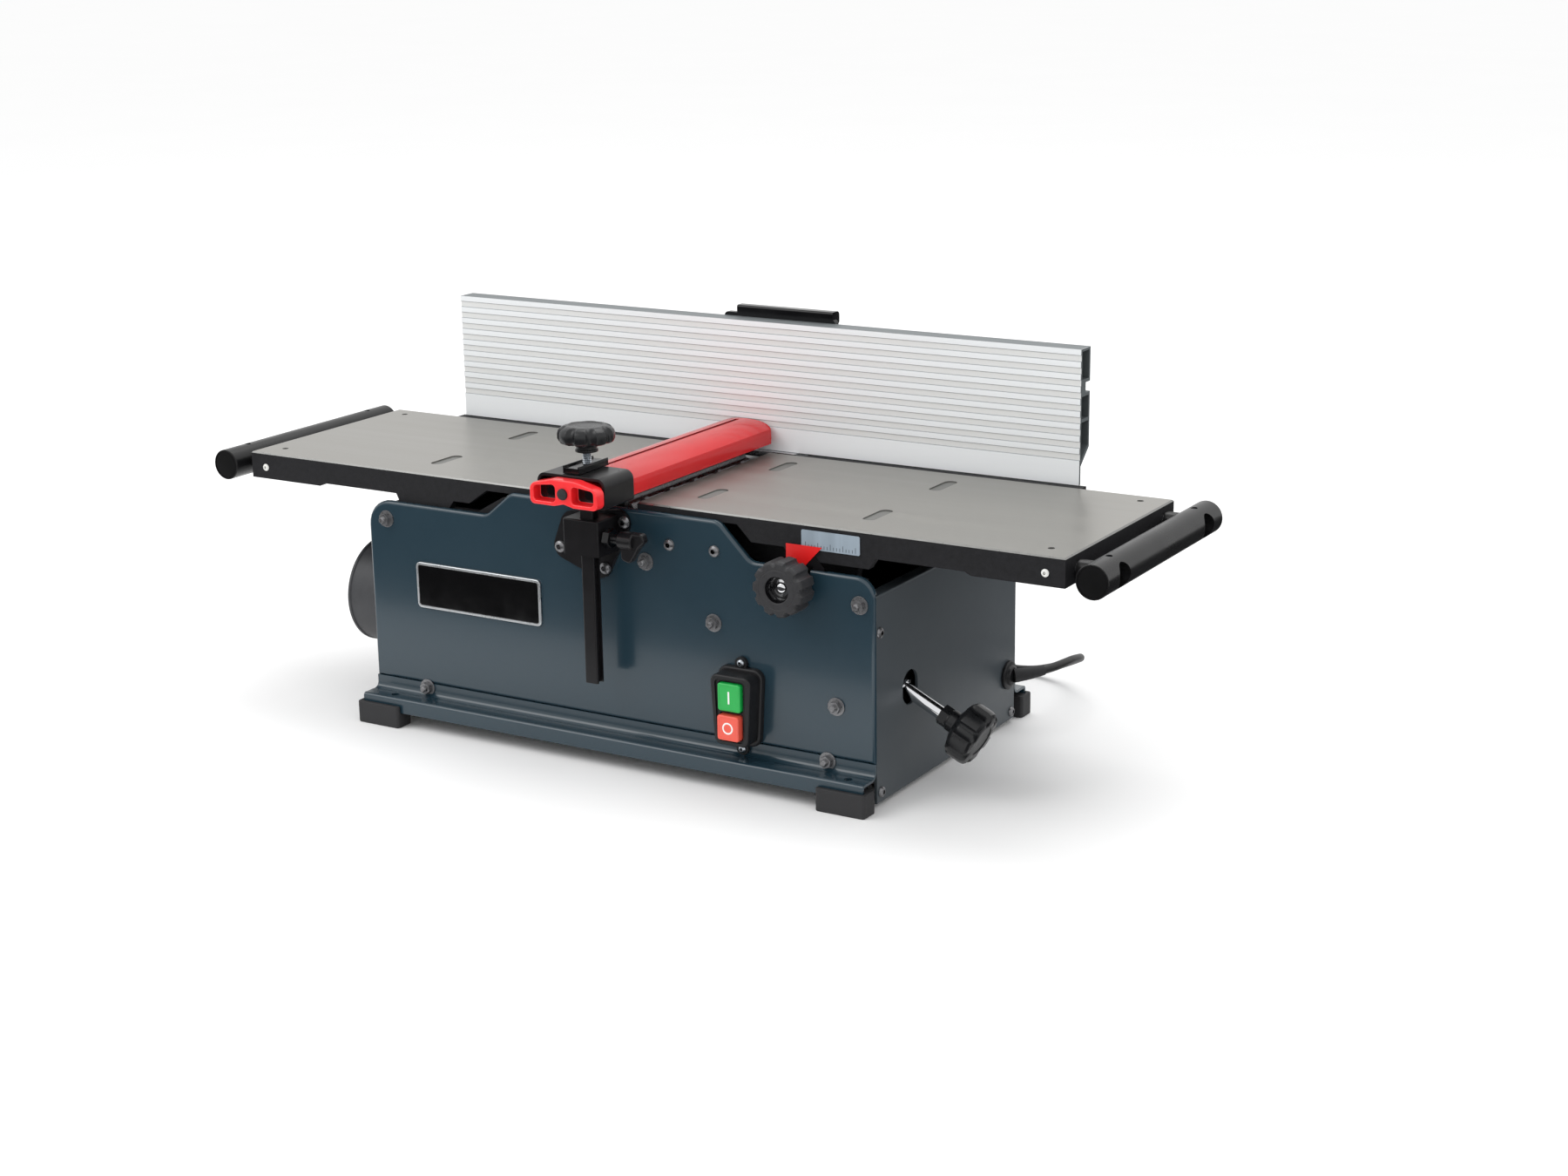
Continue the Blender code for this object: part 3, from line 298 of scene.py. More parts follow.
def material(name, color, rough, metal=0.0, vary=0.08, size=12.0, grain=0.0, grain_size=0.8,
             stretch=(1, 1, 1), rough_vary=0.05, coat=0.0, coat_rough=0.1, specular=0.5):
    """Procedural surface: slow colour drift, roughness drift and fine relief. Sizes in mm."""
    mat = bpy.data.materials.new(name)
    mat.use_nodes = True
    nodes = mat.node_tree.nodes
    links = mat.node_tree.links
    shader = nodes["Principled BSDF"]
    shader.inputs["Metallic"].default_value = metal
    shader.inputs["Specular IOR Level"].default_value = specular
    shader.inputs["Coat Weight"].default_value = coat
    shader.inputs["Coat Roughness"].default_value = coat_rough
    where = nodes.new("ShaderNodeTexCoord")
    grid = nodes.new("ShaderNodeMapping")
    grid.inputs["Scale"].default_value = stretch
    links.new(where.outputs["Object"], grid.inputs["Vector"])
    drift = nodes.new("ShaderNodeTexNoise")
    drift.inputs["Scale"].default_value = 1000.0 / size
    drift.inputs["Detail"].default_value = 5.0
    drift.inputs["Roughness"].default_value = 0.6
    links.new(grid.outputs["Vector"], drift.inputs["Vector"])
    ramp = nodes.new("ShaderNodeValToRGB")
    ramp.color_ramp.elements[0].position = 0.3
    ramp.color_ramp.elements[1].position = 0.7
    ramp.color_ramp.elements[0].color = tuple(c * (1 - vary) for c in color[:3]) + (1,)
    ramp.color_ramp.elements[1].color = tuple(min(1, c * (1 + vary)) for c in color[:3]) + (1,)
    links.new(drift.outputs["Fac"], ramp.inputs["Fac"])
    links.new(ramp.outputs["Color"], shader.inputs["Base Color"])
    spread = nodes.new("ShaderNodeMapRange")
    spread.inputs["From Min"].default_value = 0.3
    spread.inputs["From Max"].default_value = 0.7
    spread.inputs["To Min"].default_value = max(0.03, rough - rough_vary)
    spread.inputs["To Max"].default_value = min(1.0, rough + rough_vary)
    links.new(drift.outputs["Fac"], spread.inputs["Value"])
    links.new(spread.outputs["Result"], shader.inputs["Roughness"])
    if grain:
        fine = nodes.new("ShaderNodeTexNoise")
        fine.inputs["Scale"].default_value = 1000.0 / grain_size
        fine.inputs["Detail"].default_value = 3.0
        links.new(grid.outputs["Vector"], fine.inputs["Vector"])
        bump = nodes.new("ShaderNodeBump")
        bump.inputs["Strength"].default_value = 1.0
        bump.inputs["Distance"].default_value = grain * MM
        links.new(fine.outputs["Fac"], bump.inputs["Height"])
        links.new(bump.outputs["Normal"], shader.inputs["Normal"])
    MATS[name] = mat
    return mat


def make_materials():
    material("case_paint", srgb(32, 53, 64), 0.24, vary=0.025, size=60, grain=0.003, grain_size=1.2,
             rough_vary=0.015, coat=0.35, coat_rough=0.12)
    material("end_paint", srgb(60, 67, 72), 0.42, vary=0.03, size=60, grain=0.015, grain_size=1.2)
    material("cast_black", srgb(24, 24, 27), 0.62, vary=0.25, size=5, grain=0.12, grain_size=1.4,
             specular=0.3)
    material("table_ground", srgb(156, 154, 149), 0.36, metal=0.85, vary=0.035, size=30, grain=0.004,
             grain_size=0.5, stretch=(0.04, 1, 1), rough_vary=0.05)
    material("chamfer", srgb(140, 140, 138), 0.3, metal=0.9, vary=0.05, size=8)
    material("black_satin", srgb(21, 20, 22), 0.32, vary=0.15, size=30, grain=0.006, grain_size=0.7,
             specular=0.3)
    material("black_gloss", srgb(12, 12, 14), 0.18, vary=0.1, size=30, specular=0.35)
    material("bright_steel", srgb(196, 197, 199), 0.22, metal=1.0, vary=0.06, size=10, grain=0.003,
             grain_size=0.4, rough_vary=0.08)
    material("zinc", srgb(190, 196, 202), 0.28, metal=1.0, vary=0.12, size=4, rough_vary=0.1)
    material("dark_zinc", srgb(128, 128, 130), 0.32, metal=0.8, vary=0.2, size=3, rough_vary=0.1)
    material("chrome", srgb(225, 226, 228), 0.07, metal=1.0, vary=0.03, size=20, rough_vary=0.02)
    material("anodised", srgb(238, 241, 243), 0.42, metal=0.04, vary=0.012, size=25, grain=0.003,
             grain_size=0.5, stretch=(0.03, 1, 1), rough_vary=0.04, specular=0.3)
    # Dark grey for the fence's sawn ends and the walls of its hollows: painted shade.
    material("fence_end_hollow_shade", srgb(92, 98, 100), 0.5, metal=0.3, vary=0.06, size=6, grain=0.02, grain_size=0.5)
    # Darkened steel for the cutterhead and its bearings: painted shade in the mouth under the guard.
    material("drum_steel", srgb(56, 55, 57), 0.38, metal=0.85, vary=0.15, size=6, rough_vary=0.1)
    material("anodised_cut", srgb(114, 119, 121), 0.5, metal=0.5, vary=0.06, size=6, grain=0.02,
             grain_size=0.5)
    material("black_plastic", srgb(25, 25, 27), 0.42, vary=0.12, size=8, grain=0.025, grain_size=0.6,
             specular=0.35)
    material("guard_red", srgb(198, 12, 20), 0.15, vary=0.04, size=40, grain=0.004, grain_size=2.0,
             specular=0.45)
    # Dark, rough red for the guard's groove: painted shade in the groove.
    material("groove_red", srgb(104, 4, 9), 0.8, vary=0.05, size=20, specular=0.05)
    material("pointer_red", srgb(222, 24, 24), 0.38, vary=0.04, size=20)
    material("rubber", srgb(38, 38, 40), 0.72, vary=0.15, size=10, grain=0.06, grain_size=0.7)
    material("green", srgb(20, 168, 72), 0.35, vary=0.04, size=10, coat=0.2)
    material("stop_red", srgb(232, 88, 70), 0.35, vary=0.04, size=10, coat=0.2)
    material("mark_white", srgb(238, 238, 236), 0.4, vary=0.02, size=5)
    material("badge", srgb(6, 6, 7), 0.1, vary=0.1, size=30, specular=0.5)
    material("badge_frame", srgb(205, 208, 210), 0.3, metal=0.95, vary=0.05, size=5)
    material("scale_tin", srgb(158, 172, 184), 0.4, metal=0.3, vary=0.08, size=9, grain=0.004,
             grain_size=0.6, stretch=(1, 1, 0.08), rough_vary=0.12)
    material("mark_dark", srgb(40, 44, 48), 0.5, vary=0.05, size=5)
    material("motor_grey", srgb(96, 100, 104), 0.5, metal=0.3, vary=0.1, size=10, grain=0.03)
    material("cord_black", srgb(24, 24, 25), 0.5, vary=0.1, size=10, grain=0.01, grain_size=0.8)
    material("nylon", srgb(226, 226, 222), 0.4, vary=0.03, size=5)
    material("slot_dark", srgb(112, 112, 109), 0.5, metal=0.3, vary=0.12, size=5, grain=0.01)
    material("port_grey", srgb(56, 57, 60), 0.5, vary=0.12, size=9, grain=0.03, grain_size=0.8)
    material("bar_black", srgb(17, 17, 18), 0.3, vary=0.12, size=40, grain=0.004, grain_size=0.8,
             specular=0.35)
    material("cap_black", srgb(8, 8, 9), 0.5, vary=0.15, size=10, grain=0.01, specular=0.15)
    material("knob_grey", srgb(48, 48, 50), 0.5, vary=0.1, size=8, grain=0.02, grain_size=0.6, specular=0.3)
    material("knob_black", srgb(24, 25, 27), 0.3, vary=0.12, size=8, grain=0.012, grain_size=0.8,
             specular=0.4)
    material("blued", srgb(30, 62, 92), 0.25, metal=0.9, vary=0.1, size=5)
    material("cap_red", srgb(240, 38, 44), 0.32, vary=0.04, size=20, grain=0.006, coat=0.3)
    material("anodised_band", srgb(226, 227, 226), 0.45, metal=0.04, vary=0.012, size=25, grain=0.003,
             grain_size=0.5, stretch=(0.03, 1, 1), specular=0.3)
    # Grey for the fence's small steps and edges: painted shade in the creases between its bands.
    material("fence_step_shade", srgb(160, 164, 167), 0.5, metal=0.2, vary=0.05, size=10)
    material("flag", (0.03, 0.03, 0.032, 1), 0.9, vary=0.05, size=100, specular=0.1)
    material("floor", srgb(252, 252, 252), 0.9, vary=0.004, size=400, specular=0.0)


# ---- shared small pieces ------------------------------------------------------------
def nut_bolt(name, at, direction, body=FRAME, across=10.0, washer=8.0, roll=0.2):
    """Washer, hexagon nut and the end of a threaded stud."""
    parts = [turned([(washer * 0.5, 0), (washer, 0), (washer, 1.1), (washer * 0.5, 1.3)], at, direction, 32),
             hexagon(across, 1.2, 5.6, at, direction, roll)]
    thread = [(3.0, 5.0)] + rings([(3.1, 5.6), (2.7, 6.0)], 4, 0.8) + [(2.2, 9.2)]
    parts.append(turned(thread, at, direction, 20))
    return piece(name, merged(*parts), "dark_zinc", body, bevel=0.35)


def button_screw(name, at, direction, body=FRAME, radius=5.2, height=3.0, look="dark_zinc"):
    """Domed screw with a hexagon socket."""
    profile = [(radius * 0.98, 0), (radius, 0.5), (radius * 0.9, height * 0.6),
               (radius * 0.62, height * 0.92), (radius * 0.42, height)]
    head = turned(profile, at, direction, 32)
    socket = hexagon(radius * 0.72, height * 0.35, height + 2, at, direction)
    return piece(name, head, look, body, steps=cut(socket), bevel=0.15)


def lobes(count, depth, start, power=0.7):
    """Rim shape of a hand knob: scallops cut only beyond a radius."""
    def shape(angle, radius, height):
        if radius < start:
            return radius
        wave = max(0.0, math.cos(count * angle)) ** power
        return radius - depth * wave * min(1.0, (radius - start) / 3.0)
    return shape


# ---- power cord ---------------------------------------------------------------------
COIL = (150.0, 348.0)                    # (x, y) of the stowed coil's middle
TURNS = (50.2, 41.9, 33.6)               # radii of its turns
LAYERS = (4.2, 12.5)                     # heights of its two layers


def cord_route():
    y = COIL[1] + TURNS[0]
    return [(265.8, 250.2, 49.4), (274.1, 257.9, 50.4), (280.9, 267.0, 51.3), (286, 277, 51.9),
            (289.3, 287.9, 52.2), (291, 301.4, 51.8), (290.5, 315, 50.2),
            (288.5, 331, 47.0), (284.5, 347, 42.6), (277, 361.5, 37.0), (266, 374.5, 30.0),
            (252, 385, 22.0), (235, 391.8, 13.6), (214, 395.8, 6.8), (195, 396.4, 4.4),
            (178, y, 4.2), (165, y, 4.2)]


def cord_coil():
    """Two turns inwards on the floor, one that rises, then two outwards on top and one more."""
    out = []
    rows = [(TURNS[0], TURNS[1], 0), (TURNS[1], TURNS[2], 0), (TURNS[2], TURNS[2], 1),
            (TURNS[2], TURNS[1], 2), (TURNS[1], TURNS[0], 2), (TURNS[0], TURNS[0], 2)]
    steps = 36
    for first, last, kind in rows:
        for k in range(steps):
            t = k / steps
            change = max(0.0, t * 2 - 1)
            change = change * change * (3 - 2 * change)
            radius = first + (last - first) * change
            z = LAYERS[0] if kind == 0 else LAYERS[1]
            if kind == 1:
                z = LAYERS[0] + (LAYERS[1] - LAYERS[0]) * change
                radius -= 9.0 * change * (1 - change)
            angle = math.pi / 2 + 2 * math.pi * t
            out.append((COIL[0] + radius * math.cos(angle), COIL[1] + radius * math.sin(angle), z))
    y = COIL[1] + TURNS[0]
    out += [(COIL[0], y, 12.5), (141, y, 12.9), (132, y, 14.2), (123, y, 16.2), (114, y, 17.9),
            (106, y, 18.5), (99, y, 18.6)]
    return out


def smooth(points, spacing):
    knots = [Vector(p) for p in points]
    knots = [knots[0] * 2 - knots[1]] + knots + [knots[-1] * 2 - knots[-2]]
    fine = []
    for i in range(1, len(knots) - 2):
        a, b, c, d = knots[i - 1:i + 3]
        for k in range(16):
            t = k / 16
            fine.append(0.5 * (2 * b + (c - a) * t + (2 * a - 5 * b + 4 * c - d) * t * t
                               + (3 * b - a - 3 * c + d) * t ** 3))
    fine.append(knots[-2])
    out = [fine[0]]
    walked = 0.0
    for p, q in zip(fine, fine[1:]):
        walked += (q - p).length
        if walked >= spacing:
            out.append(q)
            walked = 0.0
    out.append(fine[-1])
    return out


def tube(line, radii, segments=24):
    """Skin round a line of points with a radius at each."""
    rings = []
    side = Vector((0, 0, 1))
    for i, p in enumerate(line):
        ahead = (line[min(i + 1, len(line) - 1)] - line[max(i - 1, 0)]).normalized()
        across = ahead.cross(side).normalized()
        up = across.cross(ahead)
        ring_ = []
        for k in range(segments):
            angle = 2 * math.pi * k / segments
            ring_.append(p + (across * math.cos(angle) + up * math.sin(angle)) * radii[i])
        rings.append(ring_)
    return loft(rings)


def cord_line():
    line = smooth(cord_route() + cord_coil(), 5.0)
    curve = bpy.data.curves.new("mains_lead", "CURVE")
    curve.dimensions = "3D"
    curve.bevel_depth = CORD_R * MM
    curve.bevel_resolution = 4
    curve.use_fill_caps = True
    spline = curve.splines.new("POLY")
    spline.points.add(len(line) - 1)
    for point, p in zip(spline.points, line):
        point.co = (p.x * MM, (p.y - Y_MID) * MM, p.z * MM, 1.0)
    spline.use_smooth = True
    curve.materials.append(MATS["cord_black"])
    lead = bpy.data.objects.new("mains_lead", curve)
    bpy.context.scene.collection.objects.link(lead)
    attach(lead, FRAME)
    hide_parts("power_cord", "cord_coil")
    return lead


def cord_plug():
    """Moulded plug with a ribbed neck, and its two pins."""
    x, y, z = 110, COIL[1] + TURNS[0], 18.6
    profile = [(4.3, 0), (5.0, 1)]
    for k in range(5):
        profile += [(5.2 + k * 0.7, 2 + k * 5), (5.3 + k * 0.7, 4.6 + k * 5), (4.6 + k * 0.6, 5.0 + k * 5),
                    (4.7 + k * 0.6, 6.6 + k * 5)]
    profile += [(9, 27.5), (13, 31), (17.6, 38), (18.4, 41), (18.4, 49), (17.6, 50.2), (16.8, 50.4),
                (16.8, 63), (16.0, 64)]
    plug = piece("mains_plug", turned(profile, (x, y, z), (-1, 0, 0), 48), "rubber", bevel=0.3,
                 nodes=("cord_plug",))
    pins = [turned([(2.4, 0), (2.4, 17.5), (1.9, 18.6), (1.0, 19)], (x - 63.8, y, z + side * 9.5), (-1, 0, 0),
                   24)
            for side in (-1, 1)]
    return plug, piece("mains_plug_pins", merged(*pins), "bright_steel", bevel=0)


def cord_tie():
    x, y = COIL
    hole = box((x - 4, y - 54.8, 0.25), (x + 4, y - 27.6, 16.9))
    band = box((x - 3, y - 55.5, 0.06), (x + 3, y - 26.9, 17.7))
    return piece("lead_tie", band, "rubber", steps=cut(hole), bevel=0.1)


def cord_relief():
    """Tapered sleeve over the first centimetres of the cord."""
    line = smooth(cord_route(), 2.0)
    count = 13
    radii = [6.6] + [6.3 - 1.5 * k / (count - 1) for k in range(count)]
    sleeve = [Vector((262.9, 248.0, 49.2))] + line[:count]
    piece("lead_relief", tube(sleeve, radii), "rubber", bevel=0)


def cord_gland():
    profile = [(13.2, 0), (13.5, 0.5), (13.5, 2.3), (12.6, 3.0), (9.6, 3.4), (8.8, 5.6), (7.6, 6.4),
               (3.0, 6.4)]
    shell = turned(profile, (RIGHT + 0.3, *GLAND), (1, 0, 0), 40)
    piece("lead_gland", shell, "black_plastic", bevel=0.2, nodes=("cord_gland",))


def power_cord():
    lead = cord_line()
    plug, pins = cord_plug()
    tie = cord_tie()
    cord_relief()
    cord_gland()


# ---- camera, floor and light --------------------------------------------------------
def card(name, low, high, z, look):
    """Flat rectangle of the set."""
    (x0, y0), (x1, y1) = low, high
    mesh = bpy.data.meshes.new(name)
    mesh.from_pydata([(x0, y0, z), (x1, y0, z), (x1, y1, z), (x0, y1, z)], [], [(0, 1, 2, 3)])
    mesh.materials.append(MATS[look])
    obj = bpy.data.objects.new(name, mesh)
    bpy.context.scene.collection.objects.link(obj)
    return obj


def flag(name, low, high):
    """Dark card on the floor, there only for glossy reflections."""
    obj = card(name, low, high, 0.002, "flag")
    obj.visible_camera = False
    obj.visible_diffuse = False
    obj.visible_shadow = False


def soft_light(name, at, target, width, height, watts):
    data = bpy.data.lights.new(name, "AREA")
    data.shape = "RECTANGLE"
    data.size = width
    data.size_y = height
    data.energy = watts
    lamp = bpy.data.objects.new(name, data)
    lamp.location = at
    lamp.rotation_euler = (Vector(target) - Vector(at)).to_track_quat("-Z", "Y").to_euler()
    bpy.context.scene.collection.objects.link(lamp)


def stage():
    az, el, roll = (math.radians(a) for a in (31.028, 15.647, 0.845))
    back = Vector((math.sin(az) * math.cos(el), -math.cos(az) * math.cos(el), math.sin(el)))
    right = (-back).cross(Vector((0, 0, 1))).normalized()
    down = (-back).cross(right)
    across = right * math.cos(roll) + down * math.sin(roll)
    below = down * math.cos(roll) - right * math.sin(roll)
    matrix = Matrix((across, -below, back)).transposed().to_4x4()
    matrix.translation = Vector((1.230, -1.769 - Y_MID * MM, 0.760))
    data = bpy.data.cameras.new("camera")
    data.sensor_width = 36.0
    data.lens = 58.202
    data.clip_start = 0.05
    camera = bpy.data.objects.new("camera", data)
    camera.matrix_world = matrix
    bpy.context.scene.collection.objects.link(camera)
    bpy.context.scene.camera = camera

    card("floor", (-30, -30), (30, 30), 0, "floor")

    world = bpy.data.worlds.new("studio")
    bpy.context.scene.world = world
    world.use_nodes = True
    sky = world.node_tree.nodes["Background"]
    sky.inputs["Color"].default_value = (1.0, 1.0, 1.0, 1.0)
    sky.inputs["Strength"].default_value = 1.0
    soft_light("key", (-1.6, -1.8, 2.4), (0, -0.1, 0.15), 2.2, 1.6, 26)
    soft_light("top", (0.2, 0.9, 2.6), (0, 0, 0.2), 2.6, 1.4, 26)
    flag("front_flag", (-4.0, -6.0), (1.6, -0.47))
    flag("side_flag", (0.34, -0.30), (3.0, 3.0))


# ---- case ---------------------------------------------------------------------------
def front_outline(low):
    return rounded([(LEFT, low, 0), (RIGHT, low, 0), (RIGHT, 202, 18), (136, 202, 14), (104, 234, 14),
                    (-116, 234, 12), (-144, 211, 14), (LEFT, 211, 25)], 8)


def bend(out, face, thick=SHEET, reach=FOOT_REACH):
    """Section through the foot flange: panel, inside bend, flat, outside bend, lip."""
    def arc(cy, cz, radius, first, last):
        return [(cy + radius * math.cos(math.radians(first + (last - first) * k / 6)),
                 cz + radius * math.sin(math.radians(first + (last - first) * k / 6))) for k in range(7)]
    points = [(0, 40)] + arc(5.5, 33.5, 5.5, 180, 270) + arc(reach - 3, 25, 3, 90, 0) + [(reach, 14)]
    points += [(reach - thick, 14)] + arc(reach - 3, 25, 0.5, 0, 90) + arc(5.5, 33.5, 5.5 + thick, 270, 180)
    points += [(-thick, 40)]
    return [(face + out * u, v) for u, v in points]


def case():
    outline = front_outline(40.0)
    inner = FRONT + SHEET
    plate = domed(outline, "Y", -0.4, FRONT, 3.2, 6)
    pocket = prism(inset(outline, 2.4), "Y", inner, 3)
    x, z = LOCK
    notch = prism(rectangle(x - 6.5, z - 10, x + 13.5, z + 30, 6.0), "Y", -8, 4)
    steps = cut(pocket, notch, box((-300, inner, 0), (-276, 4, 188)), box((250, inner, 0), (300, 4, 188)),
                box((-300, inner, 30), (300, 4, 46)), box((168, inner, 197), (209, 0, 206)))
    piece("case_front", plate, "case_paint", steps=steps, bevel=0, nodes=("front_panel",))
    foot_strip("case_front_foot", -1, FRONT)

    outline = rounded([(LEFT, 40, 0), (RIGHT, 40, 0), (RIGHT, 187, 18), (128, 187, 14), (92, 226, 14),
                       (-62, 226, 14), (-98, 187, 14), (LEFT, 187, 18)], 8)
    piece("case_rear", domed(outline, "Y", REAR - SHEET, REAR, 2.0, 4), "case_paint", bevel=0,
          nodes=("rear_panel",))
    foot_strip("case_rear_foot", 1, REAR)


def foot_strip(name, out, face):
    section = bend(out, face)
    strip = prism(section, "X", LEFT, RIGHT)
    holes = [disc("Z", x, face + out * 12, 3.6, 20, 34, 32) for x in (-250.8, 236.8)]
    piece(name, strip, "case_paint", steps=cut(*holes), bevel=0.3)


def end_panels():
    y0, y1 = FRONT + 2.8, REAR - 2.8
    for side, face, end in ((1, RIGHT, "right"), (-1, LEFT, "left")):
        def at(u):
            return face - side * u
        section = [(at(0), 4), (at(0), 184.5), (at(0.75), 186.3), (at(2.5), 187), (at(12), 187),
                   (at(12), 184.5), (at(3.2), 184.5), (at(2.5), 183.8), (at(2.5), 4)]
        if side > 0:
            window = rectangle(SCREW_Y - 13.5, 76, SCREW_Y + 13.5, 107, 13.4, 10)
            holes = [prism(window, "X", face - 6, face + 4)]
        else:
            holes = [disc("X", 70, 100, 46, face - 4, face + 6, 64)]
        piece("case_" + end, prism(section, "Y", y0, y1), "end_paint", steps=cut(*holes), bevel=0.25,
              nodes=(end + "_end_panel",))


def feet():
    for out, side in ((-1, -1), (-1, 1), (1, -1), (1, 1)):
        name = f"foot_{'front' if out < 0 else 'rear'}_{'left' if side < 0 else 'right'}"
        corner = LEFT if side < 0 else RIGHT
        rim = (FRONT if out < 0 else REAR) + out * FOOT_REACH
        xs = sorted((corner + side * 4, corner - side * 44))
        ys = sorted((rim + out * 5, rim - out * 15))
        pad = prism(rectangle(xs[0], ys[0], xs[1], ys[1], 3), "Z", 0, 21)
        slot_x = sorted((corner + side * 0.3, corner - side * 50))
        slot_y = sorted((rim + out * 0.3, rim - out * 2.8))
        steps = cut(box((slot_x[0], slot_y[0], 13.7), (slot_x[1], slot_y[1], 30)))
        piece(name + "_pad", pad, "rubber", steps=steps, bevel=1.2, segments=3, nodes=(name,))


# ---- case fasteners and fittings ----------------------------------------------------
def case_bolts():
    nuts = [(-259, 194), (-221, 36), (29, 189), (98, 143), (242, 178), (219, 86), (210, 36)]
    for i, (x, z) in enumerate(nuts):
        nut_bolt(f"case_nut_{i}", (x, FRONT, z), (0, -1, 0), roll=0.3 + 0.37 * i)
    for i, (x, z) in enumerate([(54, 207), (100, 207)]):
        button_screw(f"case_screw_{i}", (x, FRONT, z), (0, -1, 0))
    for i, (x, z) in enumerate([(-259, 170), (-221, 36), (242, 170), (210, 36), (-40, 205), (74, 205)]):
        nut_bolt(f"rear_nut_{i}", (x, REAR, z), (0, 1, 0), roll=0.2 + 0.41 * i)
    for side, face, label in ((1, RIGHT, "right"), (-1, LEFT, "left")):
        for i, (y, z) in enumerate([(3.4, 154), (5.4, 13), (255.7, 11), (255.0, 170)]):
            button_screw(f"{label}_screw_{i}", (face, y, z), (side, 0, 0), radius=4.8, height=2.8)


def rear_deck():
    """Bent cover between the tables' rear edge and the rear panel; the belt runs under it."""
    top = [(-279, 186), (-95, 186), (-58, 230.4), (88, 230.4), (125, 186), (254, 186)]
    low = [(x, z - 1.4) for x, z in top]
    piece("rear_deck", prism(top + low[::-1], "Y", 223.6, 262.2), "black_satin", bevel=0.3)
    for i, x in enumerate((-240, -130, 160, 235)):
        button_screw(f"deck_screw_{i}", (x, 243, 186), (0, 0, 1), radius=4.2, height=2.4)


def badge():
    x0, z0, x1, z1 = -226, 114, -85, 157.5
    frame_ = domed(rectangle(x0, z0, x1, z1, 4.5), "Y", FRONT - 0.3, FRONT - 2.2, 0.9)
    steps = cut(prism(rectangle(x0 + 2.5, z0 + 2.5, x1 - 2.5, z1 - 2.5, 2.2), "Y", FRONT - 1.2, FRONT - 4))
    piece("badge_frame", frame_, "badge_frame", steps=steps, bevel=0.2, nodes=("name_badge",))
    field = domed(rectangle(x0 + 2.6, z0 + 2.6, x1 - 2.6, z1 - 2.6, 2.1), "Y", FRONT - 1.25, FRONT - 1.95,
                  0.5)
    piece("badge_field", field, "badge", bevel=0)


def trapezoid(x, z0, half0, z1, half1, radius):
    return rounded([(x - half0, z0, radius), (x + half0, z0, radius), (x + half1, z1, radius),
                    (x - half1, z1, radius)], 8)


def switch():
    x = 126.5
    base = domed(trapezoid(x, 38, 19, 108, 23, 9), "Y", FRONT - 0.3, FRONT - 6, 2.0)
    ears = [disc("Y", x, z, 6.0, FRONT - 3.5, FRONT - 0.3, 40) for z in (111, 34.5)]
    tower = domed(trapezoid(x, 42, 16.8, 105, 20.6, 7), "Y", FRONT - 4, -27, 2.2)
    dish = prism(trapezoid(x, 45.6, 13.4, 101.4, 15.6, 4.5), "Y", -29, -25.4)
    pockets = [prism(rectangle(x - 12.2, 72.8, x + 12.2, 99.4, 2.4), "Y", -30, -14),
               prism(rectangle(x - 11.6, 47.2, x + 11.6, 71.4, 2.4), "Y", -30, -14)]
    piece("switch_case", base, "black_plastic", steps=add(*ears, tower) + cut(dish, *pockets), bevel=0.35,
          nodes=("switch_housing",))
    for i, z in enumerate((111.6, 34.0)):
        button_screw(f"switch_screw_{i}", (x, FRONT - 3.5, z), (0, -1, 0), radius=3.6, height=2.2,
                     look="zinc")
    for name, z0, z1, half, front, look in (("start", 73.6, 98.6, 11.4, -29.5, "green"),
                                            ("stop", 48.0, 70.6, 10.8, -32.0, "stop_red")):
        cap = domed(rectangle(x - half, z0, x + half, z1, 2.6), "Y", -19, front, 1.6)
        body = name + "_button_body"
        dish = prism(rectangle(x - half + 2.2, z0 + 2.2, x + half - 2.2, z1 - 2.2, 2.2), "Y", front - 1,
                     front + 0.3)
        piece(name + "_cap", cap, look, body, steps=cut(dish), bevel=0.2, nodes=(name + "_button",))
        middle = (z0 + z1) / 2
        if name == "start":
            mark = prism(rectangle(x - 0.8, middle - 5.6, x + 0.8, middle + 5.6, 0.3, 2), "Y", front + 0.2,
                         front + 0.4)
        else:
            mark = turned([(3.9, 0), (5.3, 0), (5.3, 0.2), (3.9, 0.2)], (x, front + 0.4, middle), (0, -1, 0),
                          48, closed=True)
        piece(name + "_mark", mark, "mark_white", body, bevel=0)


def port():
    y, z = 70.0, 100.0
    profile = [(46.5, 0), (60, 0), (60, 3.2), (59, 4.2), (51.6, 4.4), (50.2, 5.6), (49.8, 30), (49.6, 49),
               (50.6, 49.8), (50.6, 52.2), (49.6, 53), (47.4, 53), (46.5, 52.2)]
    collar = turned(profile, (LEFT - 0.3, y, z), (-1, 0, 0), 96, closed=True)
    piece("dust_collar", collar, "port_grey", bevel=0.2, nodes=("dust_port",))
    for i in range(4):
        a = math.pi / 4 + i * math.pi / 2
        at = (LEFT - 4.5, y + 55.4 * math.cos(a), z + 55.4 * math.sin(a))
        button_screw(f"port_screw_{i}", at, (-1, 0, 0), radius=3.2, height=2.0)


# ---- tables -------------------------------------------------------------------------
def table_look(p, n):
    if p.z > TOP - 0.1 and n.z > 0.9:
        return 0
    # The rear edge's chamfer is left cast black: painted shade under the fence's foot.
    if p.z > TOP - 1.4 and 0.25 < n.z < 0.95 and p.y < DEPTH - 1.3:
        return 1
    if p.z > 235.9 and 3 < p.y < 219 and abs(p.x) < 420 and abs(p.x - CUTTER[0]) > 24:
        return 3
    return 2


def way_height(x):
    return 222.0 - (x - 60.0) * math.tan(INCLINE)


